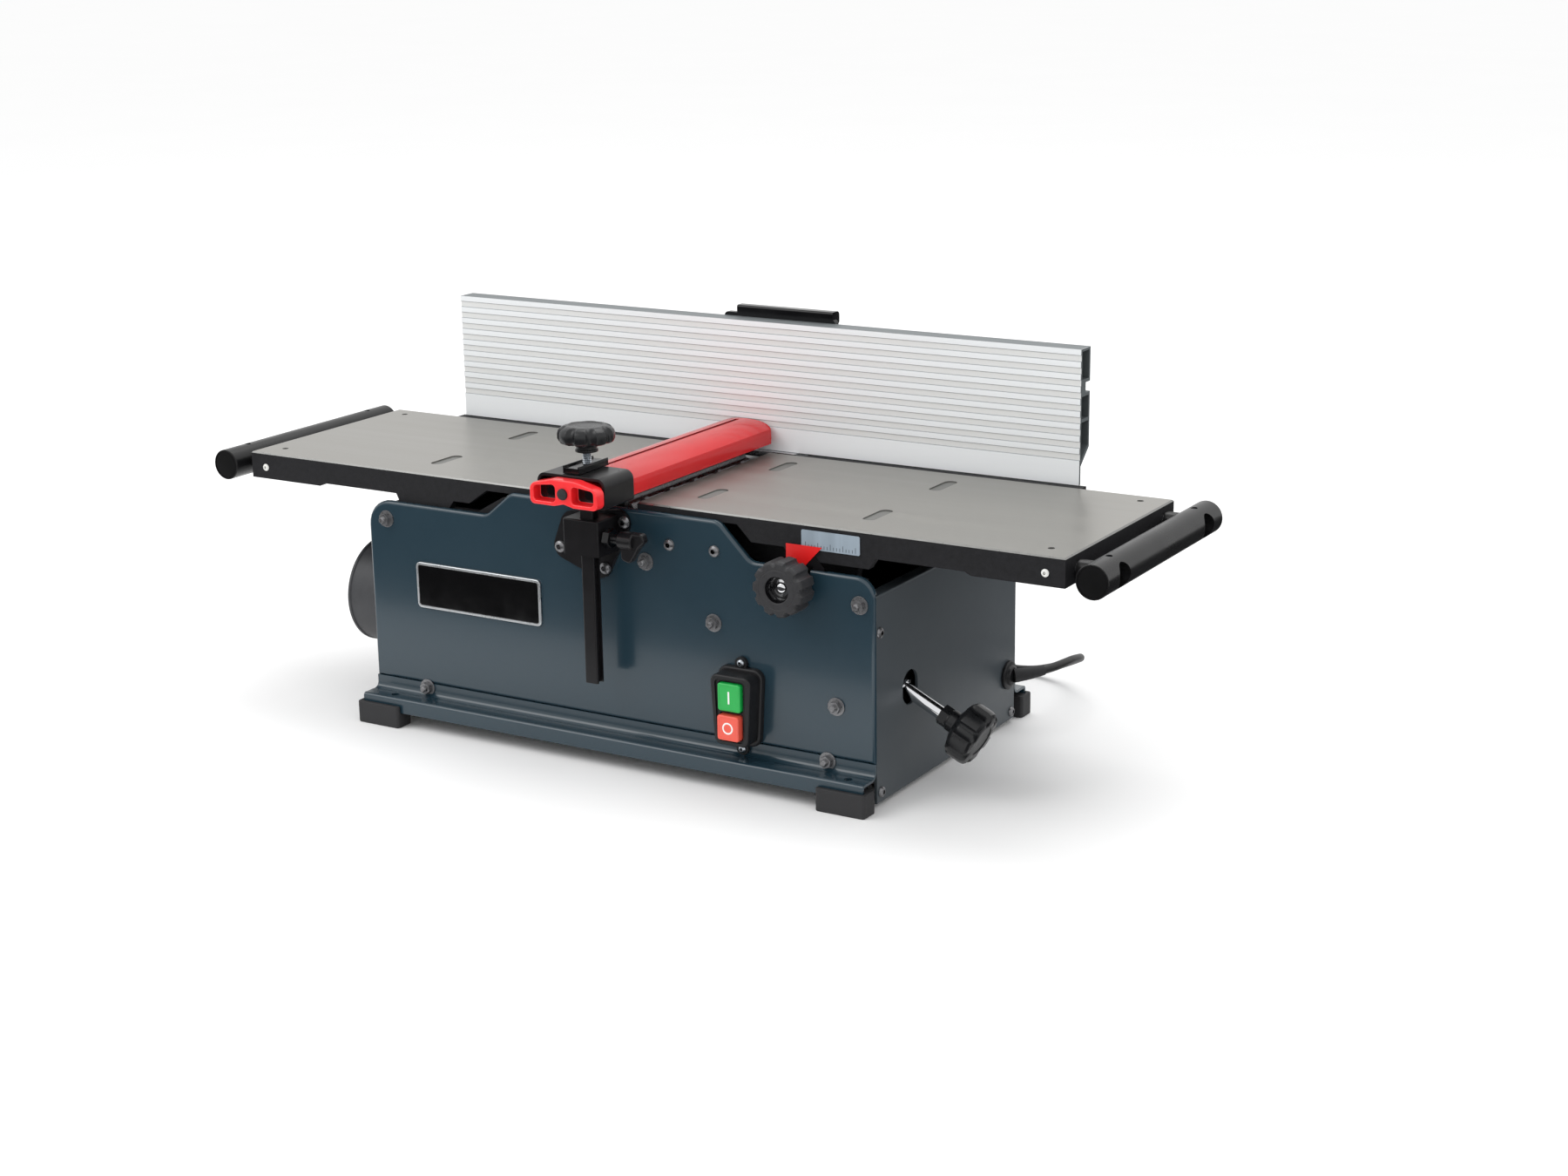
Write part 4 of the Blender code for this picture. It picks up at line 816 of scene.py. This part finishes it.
def table(side):
    """Ground cast top with a chamfered rim over rough black skirts."""
    inner = CUTTER[0] + side * 22.5
    x0, x1 = sorted((side * HALF, inner))
    rim = rectangle(x0, 0, x1, DEPTH)
    rings = [[(u, v, z) for u, v in inset(rim, d)] for z, d in ((232, 1e-3), (TOP - 1.3, 1e-3), (TOP, 1.3))]
    if side < 0:
        skirt = [(-HALF, 215), (-342, 215), (-336, 218), (-250.5, 218), (-247, 211), (-189, 211), (-184, 218),
                 (-166, 218), (-140, 236), (-HALF, 236)]
        low_boss = [box((-112, y, 227.8), (-52, y + 7, 236)) for y in (1.5, 213.5)]
        extra, slots, hole_x, ride, name = low_boss, (-234, -69), -404, FRAME, "outfeed"
        shadow_ledge = (-350, -22)
    else:
        skirt = [(HALF, 215), (342, 215), (336, 218), (254, 218), (248, 208.5), (174, 208.5), (166, 218),
                 (134, 218), (116, 236), (HALF, 236)]
        rib = [(50, 236), (50, way_height(50) + 0.35), (198, way_height(198) + 0.35), (212, 156), (228, 236)]
        extra = [prism(rib, "Y", 32, 40), prism(rib, "Y", 182, 190), box((161, 50, 142.7), (179, 65, 236))]
        slots, hole_x, ride, name = (61, 226), 402, "infeed_table_body", "infeed"
        shadow_ledge = (56, 338)
    steps = add(prism(skirt, "Y", 0, 8), prism(skirt, "Y", DEPTH - 8, DEPTH))
    a, b = sorted((side * HALF, side * (HALF - 8)))
    steps += add(box((a, 4, 215), (b, DEPTH - 4, 236)), *extra)
    # A dark cast ledge fills the gap under the fence's foot: it stands in for the shadow line there.
    steps += add(box((shadow_ledge[0], DEPTH - 3, 234), (shadow_ledge[1], 233.5, 239.7)))
    a, b = sorted((side * 396, side * 423.5))
    steps += add(*[box((a, y - 9.5, 216), (b, y + 9.5, 235)) for y in ROD_YS])
    a, b = sorted((side * 390, side * 428.5))
    steps += cut(*[disc("X", y, ROD_Z, 6.15, a, b, 32) for y in ROD_YS])
    for x in slots:
        steps += cut(*[prism(rectangle(x - 6, y - 20, x + 6, y + 20, 5.9, 8), "Z", 238.8, 242)
                       for y in SLOT_ROWS])
    steps += cut(*[disc("Z", hole_x, y, 3.0, 235, 242, 24) for y in (24, 204)])
    piece(name + "_casting", loft(rings), ("table_ground", "chamfer", "cast_black", "slot_dark"), ride,
          steps=steps, bevel=0.35, pick=table_look, nodes=(name + "_table",))
    for i, (y, out) in enumerate(((0.0, -1), (DEPTH, 1))):
        button_screw(f"{name}_nylon_{i}", (side * 408, y, 226), (0, out, 0), ride, 3.4, 1.8, "nylon")


def support(side):
    """Extension bar with capped ends; its rod screws sit in round windows."""
    name = "outfeed" if side < 0 else "infeed"
    body = name + "_support_body"
    x, z = side * 452.0, ROD_Z
    tube_ = turned([(12.6, 0), (14.0, 0), (14.5, 0.6), (14.5, 239.4), (14.0, 240), (12.6, 240)], (x, -8, z),
                   (0, 1, 0), 72)
    steps = cut(turned([(12.9, -1), (12.9, 0.6)], (x, -8, z), (0, 1, 0), 72),
                turned([(12.9, 239.4), (12.9, 241)], (x, -8, z), (0, 1, 0), 72))
    a, b = sorted((x + side * 2.0, x + side * 18))
    steps += cut(*[disc("X", y, z, 10.6, a, b, 48) for y in ROD_YS])
    steps += cut(*[disc("Z", x, y, 3.0, z + 10, z + 18, 24) for y in ROD_YS])
    c, d = sorted((side * 427.2, x))
    steps += add(*[disc("X", y, z, 8.6, c, d, 40) for y in ROD_YS])
    steps += cut(*[disc("X", y, z, 6.2, c - 1, d + 1, 32) for y in ROD_YS])
    piece(name + "_bar", tube_, "bar_black", body, steps=steps, bevel=0.35, nodes=(name + "_support_bar",))
    for i, (y, out) in enumerate(((-7.35, -1), (231.35, 1))):
        cap = turned([(12.6, -1), (12.75, 0), (12.75, 0.1), (12.0, 0.5), (1, 0.55)], (x, y, z), (0, out, 0),
                     56)
        piece(f"{name}_bar_cap_{i}", cap, "cap_black", body, bevel=0)
    for i, y in enumerate(ROD_YS):
        node = f"{name}_rod_" + ("front", "rear")[i]
        rod = turned([(5.2, 0), (6.0, 0.8), (6.0, 240.5), (5.4, 241)], (side * 215, y, z), (side, 0, 0), 40)
        piece(f"{name}_rod_{i}", rod, "bright_steel", body, bevel=0, nodes=(node,))
        button_screw(f"{name}_rod_screw_{i}", (x + side * 1.9, y, z), (side, 0, 0), body, 6.2, 6.0,
                     "dark_zinc")
        button_screw(f"{name}_bar_screw_{i}", (x, y, z + 11.4), (0, 0, 1), body, 2.8, 1.9, "blued")


def cutterhead():
    x, z = CUTTER
    drum = turned([(7.45, 0), (7.45, 9), (26.8, 9), (27.4, 9.6), (27.4, 209), (26.8, 209.6), (7.45, 209.6),
                   (7.45, 247)], (x, 1.2, z), (0, 1, 0), 96)
    steps, knives, screws = [], [], []
    for side in (-1, 1):
        gullet = [(x + side * u, z + side * v) for u, v in ((2, 30), (2, 17), (7, 15), (15, 19), (19, 30))]
        steps += cut(prism(gullet, "Y", 0, 220))
        knife = [(x + side * u, z + side * v) for u,
                 v in ((2.1, 16.9), (4.6, 17.2), (4.6, 24), (2.6, 28.2), (2.1, 28.2))]
        knives.append(prism(knife, "Y", 10.4, 210.6))
        gib = [(x + side * u, z + side * v) for u, v in ((4.7, 16.6), (12.4, 18.4), (9.0, 24.2), (4.7, 25.2))]
        knives.append(prism(gib, "Y", 10.6, 210.4))
        for k in range(5):
            at = (x + side * 10.8, 30 + k * 40, z + side * 21.4)
            screws.append(hexagon(8.0, 0, 3.6, at, (side * 0.85, 0, side * 0.53)))
    body = "cutterhead_body"
    # Drum and knives take darkened steel: painted shade in the mouth under the guard.
    piece("cutter_drum", drum, "drum_steel", body, steps=steps, bevel=0.3, nodes=("cutterhead",))
    piece("cutter_knives", merged(*knives), "dark_zinc", body, bevel=0.1)
    piece("cutter_screws", merged(*screws), "dark_zinc", body, bevel=0.2)


# ---- depth of cut -------------------------------------------------------------------
def depth_controls():
    plate = prism(rectangle(184, 219, 240, 235.5, 1.5), "Y", -1.0, -0.3)
    piece("depth_plate", plate, "scale_tin", "infeed_table_body", bevel=0.15, nodes=("depth_scale",))
    ticks = []
    for k in range(17):
        x = 188 + k * 3.0
        tall = 5.0 if k % 4 == 0 else 2.8
        ticks.append(box((x - 0.22, -1.04, 220.4), (x + 0.22, -0.9, 220.4 + tall)))
    piece("depth_ticks", merged(*ticks), "mark_dark", "infeed_table_body", bevel=0)

    arrow = [(169.5, 204), (187.5, 204), (204.5, 222), (169.5, 222)]
    piece("depth_flag", prism(arrow, "Y", -2.1, -1.45), "pointer_red", bevel=0.15, nodes=("depth_pointer",))
    stem = [(195.5, 184), (206, 184), (206, 204), (197, 213), (186, 205), (195.5, 205)]
    piece("depth_flag_stem", prism(stem, "Y", -1.4, -0.7), "black_satin", bevel=0.15)

    x, z = LOCK
    stud = [(4.2, 0), (4.8, 0.6)] + rings([(4.8, 1), (4.3, 1.7), (4.8, 2.4)], 19, 2)
    piece("lock_thread", turned(stud + [(4.2, 40.0)], (x, -8.6, z), (0, 1, 0), 32), "bright_steel",
          "infeed_table_body", bevel=0, nodes=("lock_stud",))
    profile = [(11.0, 0), (11.5, 0.5), (11.5, 4), (21.5, 4.6), (23.6, 6.0), (24.5, 8.5), (24.5, 25.2),
               (24.0, 27.2),
               (22.6, 28.7), (21.4, 29), (17.6, 29), (17.3, 28.7), (16.9, 28.7), (16.6, 29), (12.2, 29),
               (11.2, 28.2), (8.4, 20.4), (7.6, 20.2)]
    knob = turned(profile, (x, -9, z), (0, -1, 0), 220, lobes(11, 2.6, 19.0))
    # The dish inside the rim takes black gloss, darker than the knob: painted shade in the recess.
    piece("lock_hand_knob", knob, ("knob_grey", "black_gloss"), "lock_knob_body", bevel=0.3,
          nodes=("depth_lock_knob",),
          pick=lambda p, n: int(math.hypot(p.x - LOCK[0], p.z - LOCK[1]) < 11.0 and p.y < -25))
    tip = turned([(7.4, 20.1), (7.4, 20.6), (5.4, 20.9), (4.8, 22.0), (3.0, 22.8), (0.8, 23.0)], (x, -9, z),
                 (0, -1, 0), 40)
    piece("lock_knob_insert", tip, "chrome", "lock_knob_body", bevel=0)

    def along(d):
        return (RIGHT + d * math.cos(INCLINE), SCREW_Y, SCREW_Z - d * math.sin(INCLINE))
    axis = (math.cos(INCLINE), 0, -math.sin(INCLINE))
    rod = [(4.4, 0)] + rings([(5.0, 0.8), (4.4, 2.2), (5.0, 3.0)], 27, 3)
    rod += [(8.6, 81.9), (8.6, 85.5), (5.0, 85.5), (5.0, 103.5), (8.6, 103.5), (8.6, 107.5), (6.0, 107.7),
            (6.0, 147.2)]
    piece("depth_rod", turned(rod, along(-113.5), axis, 40), "chrome", "depth_screw_body", bevel=0,
          nodes=("depth_screw",))
    profile = [(9.0, 7.6), (9.0, 9.0), (9.8, 9.6), (9.8, 16.0), (11.4, 16.6), (18, 18.0), (23.2, 20.4),
               (25.4, 22.6),
               (26.0, 25), (26.0, 36.5), (25.2, 39.4), (23.0, 41.4), (18, 42), (14, 42), (13.4, 41.4),
               (1, 41.2)]
    knob = turned(profile, along(34), axis, 224, lobes(7, 4.4, 17.0, 0.55))
    steps = add(hexagon(16.4, 0, 8.4, along(34), axis, 0.3))
    piece("depth_hand_knob", knob, "knob_black", "depth_screw_body", steps=steps, bevel=0.3,
          nodes=("depth_adjust_knob",))


# ---- guard --------------------------------------------------------------------------
def guard():
    x = GUARD_X + 2.0
    top = []
    for i in range(33):
        t = -1 + i / 16
        top.append((x - t * 30.5, 269 - 6.5 * abs(t) ** 2.4))
    section = [(x - 32, 249), (x + 32, 249), (x + 32, 258)] + top + [(x - 32, 258)]
    bar = prism(section, "Y", -58, 227.4)
    plan = rounded([(x - 35, -80, 0), (x + 35, -80, 0), (x + 35, 227.4, 17), (x - 35, 227.4, 17)], 14)
    groove = box((x - 8.2, -61, 267.3), (x - 3.6, 222, 272))
    under = prism(rectangle(x - 29, -70, x + 29, 222, 12), "Z", 240, 251.5)

    # Faces low in the groove take the dark red: painted shade on the groove's floor and walls.
    def look(p, n):
        return int(x - 8.3 < p.x < x - 3.5 and p.z < 268.6 and p.z > 266 and p.y < 222.5 and n.y > -0.9)
    piece("guard_cover", bar, ("guard_red", "groove_red"), "guard_body",
          steps=[("INTERSECT", prism(plan, "Z", 200, 300))] + cut(groove, under), bevel=1.1, segments=3,
          pick=look, nodes=("guard_bar",), sharp=50)

    # Dark red strip along the groove's floor: painted shade standing in for the groove's shadow.
    strip = box((x - 8.15, -57.5, 267.2), (x - 3.65, 221.9, 268.3))
    piece("guard_groove_shade_strip", strip, "groove_red", "guard_body", bevel=0.1)

    half = 35.2
    outer = rounded([(x - half, 246, 2), (x + half, 246, 2), (x + half, 272.4, 8), (x - half, 272.4, 8)], 8)
    hollow = rounded([(x - 32.4, 248.6, 0.5), (x + 32.4, 248.6, 0.5), (x + 32.4, 269.5, 5),
                      (x - 32.4, 269.5, 5)], 8)
    piece("guard_strap", prism(outer, "Y", -58, -14), "black_satin", "guard_post_body",
          steps=cut(prism(hollow, "Y", -61, -11)), bevel=0.7, segments=3, nodes=("guard_sleeve",))

    half = 35.0
    outline = rounded([(x - half, 247, 5), (x - 10, 247, 6), (x, 249.5, 6), (x + 10, 247, 6),
                       (x + half, 247, 5),
                       (x + half, 265, 7), (x + 12, 270.5, 8), (x - 12, 270.5, 8), (x - half, 265, 7)], 8)
    holes = []
    for side in (-1, 1):
        a, b = sorted((x + side * 8.5, x + side * (half - 4.0)))
        inner_top, outer_top = 266.0, 263.4
        tops = (outer_top, inner_top) if side < 0 else (inner_top, outer_top)
        mouth = rounded([(a, 250.6, 3.5), (b, 250.6, 3.5), (b, tops[1], 3.5), (a, tops[0], 3.5)], 8)
        holes.append(prism(mouth, "Y", -73, -59.5))
    # The floors of the two mouths take black gloss: painted shade standing in for the dark inside of the
    # openings.
    piece("guard_nose", prism(outline, "Y", -70, -58.3), ("cap_red", "black_gloss"), "guard_body",
          steps=cut(*holes), bevel=1.3, segments=3, nodes=("guard_end_cap",),
          pick=lambda p, n: int(p.y > -60.2 and n.y < -0.9))
    screw = turned([(4.8, -4), (5.0, 1.6), (4.6, 2.6), (3.2, 3.1), (1, 3.2)], (x, -69.4, 258.6), (0, -1, 0),
                   40)
    piece("guard_nose_screw", screw, "rubber", "guard_body", bevel=0)

    x = GUARD_X
    plate = box((x - 8.5, -54, 272.7), (x + 8.5, -10, 277.7))
    lip = [box((x - 8.5, -54, 272.7), (x - 6.9, -10, 279.4)),
           box((x + 6.9, -54, 272.7), (x + 8.5, -10, 279.4))]
    piece("guard_pressure_plate", plate, "black_gloss", "guard_post_body",
          steps=add(*lip) + cut(disc("Z", x, POST_Y, 4.3, 270, 282, 32)), bevel=0.45,
          nodes=("guard_clamp_plate",))
    thread = [(3.4, 0)] + rings([(4.0, 0.5), (3.4, 1.2)], 10, 1.45)
    piece("guard_knob_stud", turned(thread + [(3.4, 15.2)], (x, POST_Y, 272.8), (0, 0, 1), 32), "zinc",
          "guard_knob_body", bevel=0)
    profile = [(8.8, 15.0), (10.0, 15.4), (10.0, 17.4), (9.0, 17.8), (9.0, 20.4), (10.2, 21.0), (10.6, 22.6),
               (20.0, 23.0),
               (23.6, 24.4), (25.0, 27.2), (25.0, 31.5), (24.2, 34.2), (22.2, 36.4), (18.8, 37.9),
               (15.4, 38.4), (14.8, 37.9), (13.6, 37.5), (7, 37.3), (1, 37.3)]
    knob = turned(profile, (x, POST_Y, 272.8), (0, 0, 1), 192, lobes(8, 3.4, 17.5))
    piece("guard_hand_knob", knob, "knob_black", "guard_knob_body", bevel=0.25, nodes=("guard_clamp_knob",))
    guard_mount()


def guard_mount():
    x = GUARD_X
    outline = rectangle(x - 6.6, -35, x + 6.6, -24.5, 1.4, 4)
    steps = cut(box((x + 3.4, -32.8, 78), (x + 9, -26.5, 238)))
    steps += cut(*[disc("X", POST_Y + 0.1, 92 + k * 15.5, 2.1, x - 1, x + 5, 24) for k in range(9)])
    piece("guard_rack", prism(outline, "Z", 80, 245.7), "black_satin", "guard_post_body", steps=steps,
          bevel=0.25, nodes=("guard_post",))
    block = domed(rectangle(-33.5, -40, 3.5, -8, 2.0), "Z", 197, 229, 1.4, 3)
    back = prism(rounded([(24, 236, 12), (-12, 166, 12), (-69, 187, 12), (-54, 226, 14)], 10), "Y", -9.3,
                 -5.3)
    hole = box((x - 6.95, -35.35, 190), (x + 6.95, -24.15, 236))
    piece("guard_block", block, "black_satin", steps=add(back) + cut(hole), bevel=0.5,
          nodes=("guard_post_block",))
    for i, (u, v) in enumerate([(10.5, 223), (-11, 179), (-58.5, 193)]):
        button_screw(f"guard_bolt_{i}", (u, -9.3, v), (0, -1, 0), radius=5.6, height=3.4)
    y, z = POST_Y, 213.0
    body = "post_lever_body"
    thread = [(4.2, 0), (4.2, 8)] + rings([(4.5, 8.6), (4.0, 9.3)], 5, 1.5)
    parts = [hexagon(15.5, 2.0, 8.6, (3.8, y, z), (1, 0, 0), 0.2),
             turned(thread + [(4.2, 16.4)], (3.8, y, z), (1, 0, 0), 28)]
    piece("lever_nut", merged(*parts), "black_gloss", body, bevel=0.35)
    wing = rounded([(20, z + 7, 3), (44, z + 8, 3.5), (46.5, z + 1, 3), (40, z - 5, 4), (31, z - 20, 4),
                    (22, z - 17, 4)], 8)
    hub = turned([(6.6, 16.0), (7.4, 16.8), (7.4, 30), (6.4, 31)], (3.8, y, z), (1, 0, 0), 40)
    grip = domed(wing, "Y", y + 3.6, y - 3.2, 1.8)
    piece("lever_wing", grip, "black_satin", body, steps=add(hub), bevel=0.4, nodes=("guard_post_lever",))


# ---- fence --------------------------------------------------------------------------
def knuckle(first, last, steps):
    out = []
    for i in range(steps + 1):
        angle = math.radians(first + (last - first) * i / steps)
        out.append((HINGE[0] + KNUCKLE_R * math.cos(angle), HINGE[1] + KNUCKLE_R * math.sin(angle)))
    return out


def fence_parts():
    front, back, top, low = 230.0, 250.0, 361.7, 240.3
    section = []
    for i in range(9):
        high = top - i * 11.0
        section += [(front, high), (front, high - 5.2), (front + 0.8, high - 5.5), (front + 0.8, high - 10.7)]
    section += [(front, top - 99), (front, low), (front + 3, low), (front + 3, 257), (back, 272), (back, 322),
                (back - 9, 322), (back - 9, 331), (back, 331), (back, top)]
    hollows = [[(front + 3, 334), (back - 2.5, 334), (back - 2.5, top - 2.5), (front + 3, top - 2.5)],
               [(front + 3, 299), (back - 2.5, 299), (back - 2.5, 319), (front + 3, 319)],
               [(front + 3, 262), (back - 2.5, 274), (back - 2.5, 296), (front + 3, 296)]]

    def look(p, n):
        # End faces and the walls of the hollows go dark grey: painted shade.
        if abs(n.x) > 0.9 or front + 2.9 < p.y < back - 2.4 and 262 < p.z < top - 2.4:
            return 4
        if n.z > 0.9 and p.z > top - 1:
            return 2
        if n.y < -0.9 and p.y > front + 0.5 and p.y < front + 1.2:
            return 1
        # Small step and edge faces on the front go grey: painted shade along the creases.
        if n.y < -0.2 and abs(n.z) > 0.2 and p.y < front + 1:
            return 3
        return 0
    piece("fence_extrusion", prism(section, "X", -345.5, 332.5),
          ("anodised", "anodised_band", "anodised_cut", "fence_step_shade", "fence_end_hollow_shade"),
          "fence_body", steps=cut(*[prism(h, "X", -350, 340) for h in hollows]), bevel=0.12, segments=1,
          pick=look, nodes=("fence",))

    y0, y1 = 250.3, 256.3
    plate = prism(rectangle(-46, 277, 75, 365, 4), "Y", y0, y1)
    cap = prism(rounded([(y0, 360, 0), (y0 + 13, 360, 3), (y0 + 13, 372, 4), (y0, 372, 2)], 6), "X", -32, 72)
    arm = knuckle(131, 311, 14) + [(y1, 256.6), (y1, 290), (y0, 290), (y0, 263.2)]
    arms = [prism(arm, "X", *xs) for xs in ((-30, -19.4), (49.4, 60))]
    piece("fence_back_plate", plate, "black_gloss", "fence_body", steps=add(cap, *arms), bevel=0.8,
          nodes=("fence_bracket",))
    pin = turned([(1.8, -0.4), (2.4, 0.2), (2.4, 91.8), (1.8, 92.4)], (-31, *HINGE), (1, 0, 0), 24)
    piece("fence_pin", pin, "bright_steel", "fence_body", bevel=0)
    for i, (u, v) in enumerate([(-28, 326.5), (57, 326.5), (-28, 305), (57, 305)]):
        nut_bolt(f"fence_bolt_{i}", (u, y1, v), (0, 1, 0), "fence_body", roll=0.3 * i)

    body = "fence_carriage_body"
    floor_ = 240.5
    barrel = [(u, max(v, floor_)) for u, v in knuckle(29, 331, 20)]
    tail = [(280, barrel[-1][1]), (280, 248.8), (barrel[0][0], 248.8)]
    plate = prism(rectangle(-35, 276, 65, 400, 5), "Z", floor_, 249)
    ribs = [prism(rounded([(324, 248, 0), (396, 248, 0), (396, 262, 5), (324, 262, 9)], 6), "X", *xs)
            for xs in ((-33, -27), (57, 63))]
    steps = add(prism(barrel + tail, "X", -19, 49), *ribs)
    steps += cut(disc("X", *HINGE, 2.5, -21, 51, 32), box((-21, HINGE[0], 244.6), (51, 272, 245.4)),
                 disc("Z", 30, 262, 2.9, 238, 252, 24))
    piece("fence_slide_plate", plate, "cast_black", body, steps=steps, bevel=0.6, nodes=("fence_carriage",))
    key = prism(rectangle(7, 374, 23, 398, 1.5), "Z", 236.5, 240.2)
    piece("fence_key", key, "bright_steel", body, bevel=0.3, nodes=("fence_guide_key",))

    slot_ = prism(rectangle(6.5, 230, 23.5, 402, 4), "Z", 230, 244)
    rail = prism(rectangle(-15, 224, 45, 412, 3), "Z", 234.1, 240.1)
    piece("fence_track", rail, "bright_steel", steps=cut(slot_), bevel=0.5, nodes=("fence_rail",))
    y0, t = REAR + 0.3, 233.8
    upright = prism(rectangle(-15, 120, 45, t, 3), "Y", y0, y0 + 6)
    more = []
    for a, b in ((-15, 3), (27, 45)):
        more.append(box((a, y0 + 3, t - 6), (b, 400, t)))
        web = [(y0 + 3, 132), (y0 + 3, t - 3), (392, t - 3), (392, t - 12)]
        more.append(prism(web, "X", (a + b) / 2 - 3, (a + b) / 2 + 3))
    piece("fence_bracket_casting", upright, "cast_black", steps=add(*more), bevel=0.8,
          nodes=("fence_rail_bracket",))
    for i, (u, v) in enumerate([(15, 140), (15, 175), (15, 215)]):
        nut_bolt(f"bracket_bolt_{i}", (u, y0 + 6, v), (0, 1, 0), roll=0.5 * i)

    x, y, low = 30, 262, 249.3
    stem = turned([(2.5, 0), (2.5, low - 241), (6.6, low - 241), (7.0, low - 240.6), (7.0, low - 236.5),
                   (5.5, low - 235)], (x, y, 241), (0, 0, 1), 40)
    arm = rounded([(x + 3, y, 0), (x + 2.2, y + 36, 0), (x + 4, y + 50, 3.6), (x - 4, y + 50, 3.6),
                   (x - 2.2, y + 36, 0), (x - 3, y, 0)], 8)
    piece("tilt_handle", stem, "knob_black", "tilt_lever_body",
          steps=add(prism(arm, "Z", low + 0.1, low + 4.2)), bevel=0.5, nodes=("fence_tilt_lever",))
    hub = turned([(8.6, 0), (9, 0.5), (9, 12), (8.4, 13.4), (7, 14.6), (1, 15)], (15, 386, low), (0, 0, 1),
                 48)
    arm = turned([(4.0, 0), (3.6, 20), (3.4, 37), (4.6, 44), (5.5, 50), (5.6, 56), (5.0, 60), (3.4, 61.6),
                  (0.8, 62)],
                 (15, 386, low + 8), (1, 0, 0.25), 40)
    piece("slide_handle", hub, "knob_black", "slide_lever_body", steps=add(arm), bevel=0.3,
          nodes=("fence_slide_lever",))


def assign(node, look):
    obj = FRAME_NODES[node]
    if not obj.material_slots:
        obj.data.materials.append(MATS[look])
    for slot_ in obj.material_slots:
        slot_.material = MATS[look]


# ---- run ----------------------------------------------------------------------------
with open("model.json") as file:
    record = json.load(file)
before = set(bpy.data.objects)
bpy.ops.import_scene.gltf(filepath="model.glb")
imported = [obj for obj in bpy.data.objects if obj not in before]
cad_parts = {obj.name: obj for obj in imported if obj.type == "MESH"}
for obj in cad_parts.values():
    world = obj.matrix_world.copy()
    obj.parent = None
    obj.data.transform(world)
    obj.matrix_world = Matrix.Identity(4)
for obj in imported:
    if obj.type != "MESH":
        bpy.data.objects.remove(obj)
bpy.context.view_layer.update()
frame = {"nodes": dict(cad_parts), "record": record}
FRAME_NODES = frame["nodes"]
bpy.context.scene.view_settings.view_transform = "Standard"
make_materials()
power_cord()
stage()
case()
end_panels()
feet()
case_bolts()
rear_deck()
badge()
switch()
port()
table(-1)
table(1)
support(-1)
support(1)
cutterhead()
depth_controls()
guard()
fence_parts()
for part in frame["record"]["subparts"]:
    assign(part["node"], LOOKS.get(part["material_slot"], part["material_slot"]))
for name in ("bearing_front", "bearing_rear"):
    assign(name, "drum_steel")
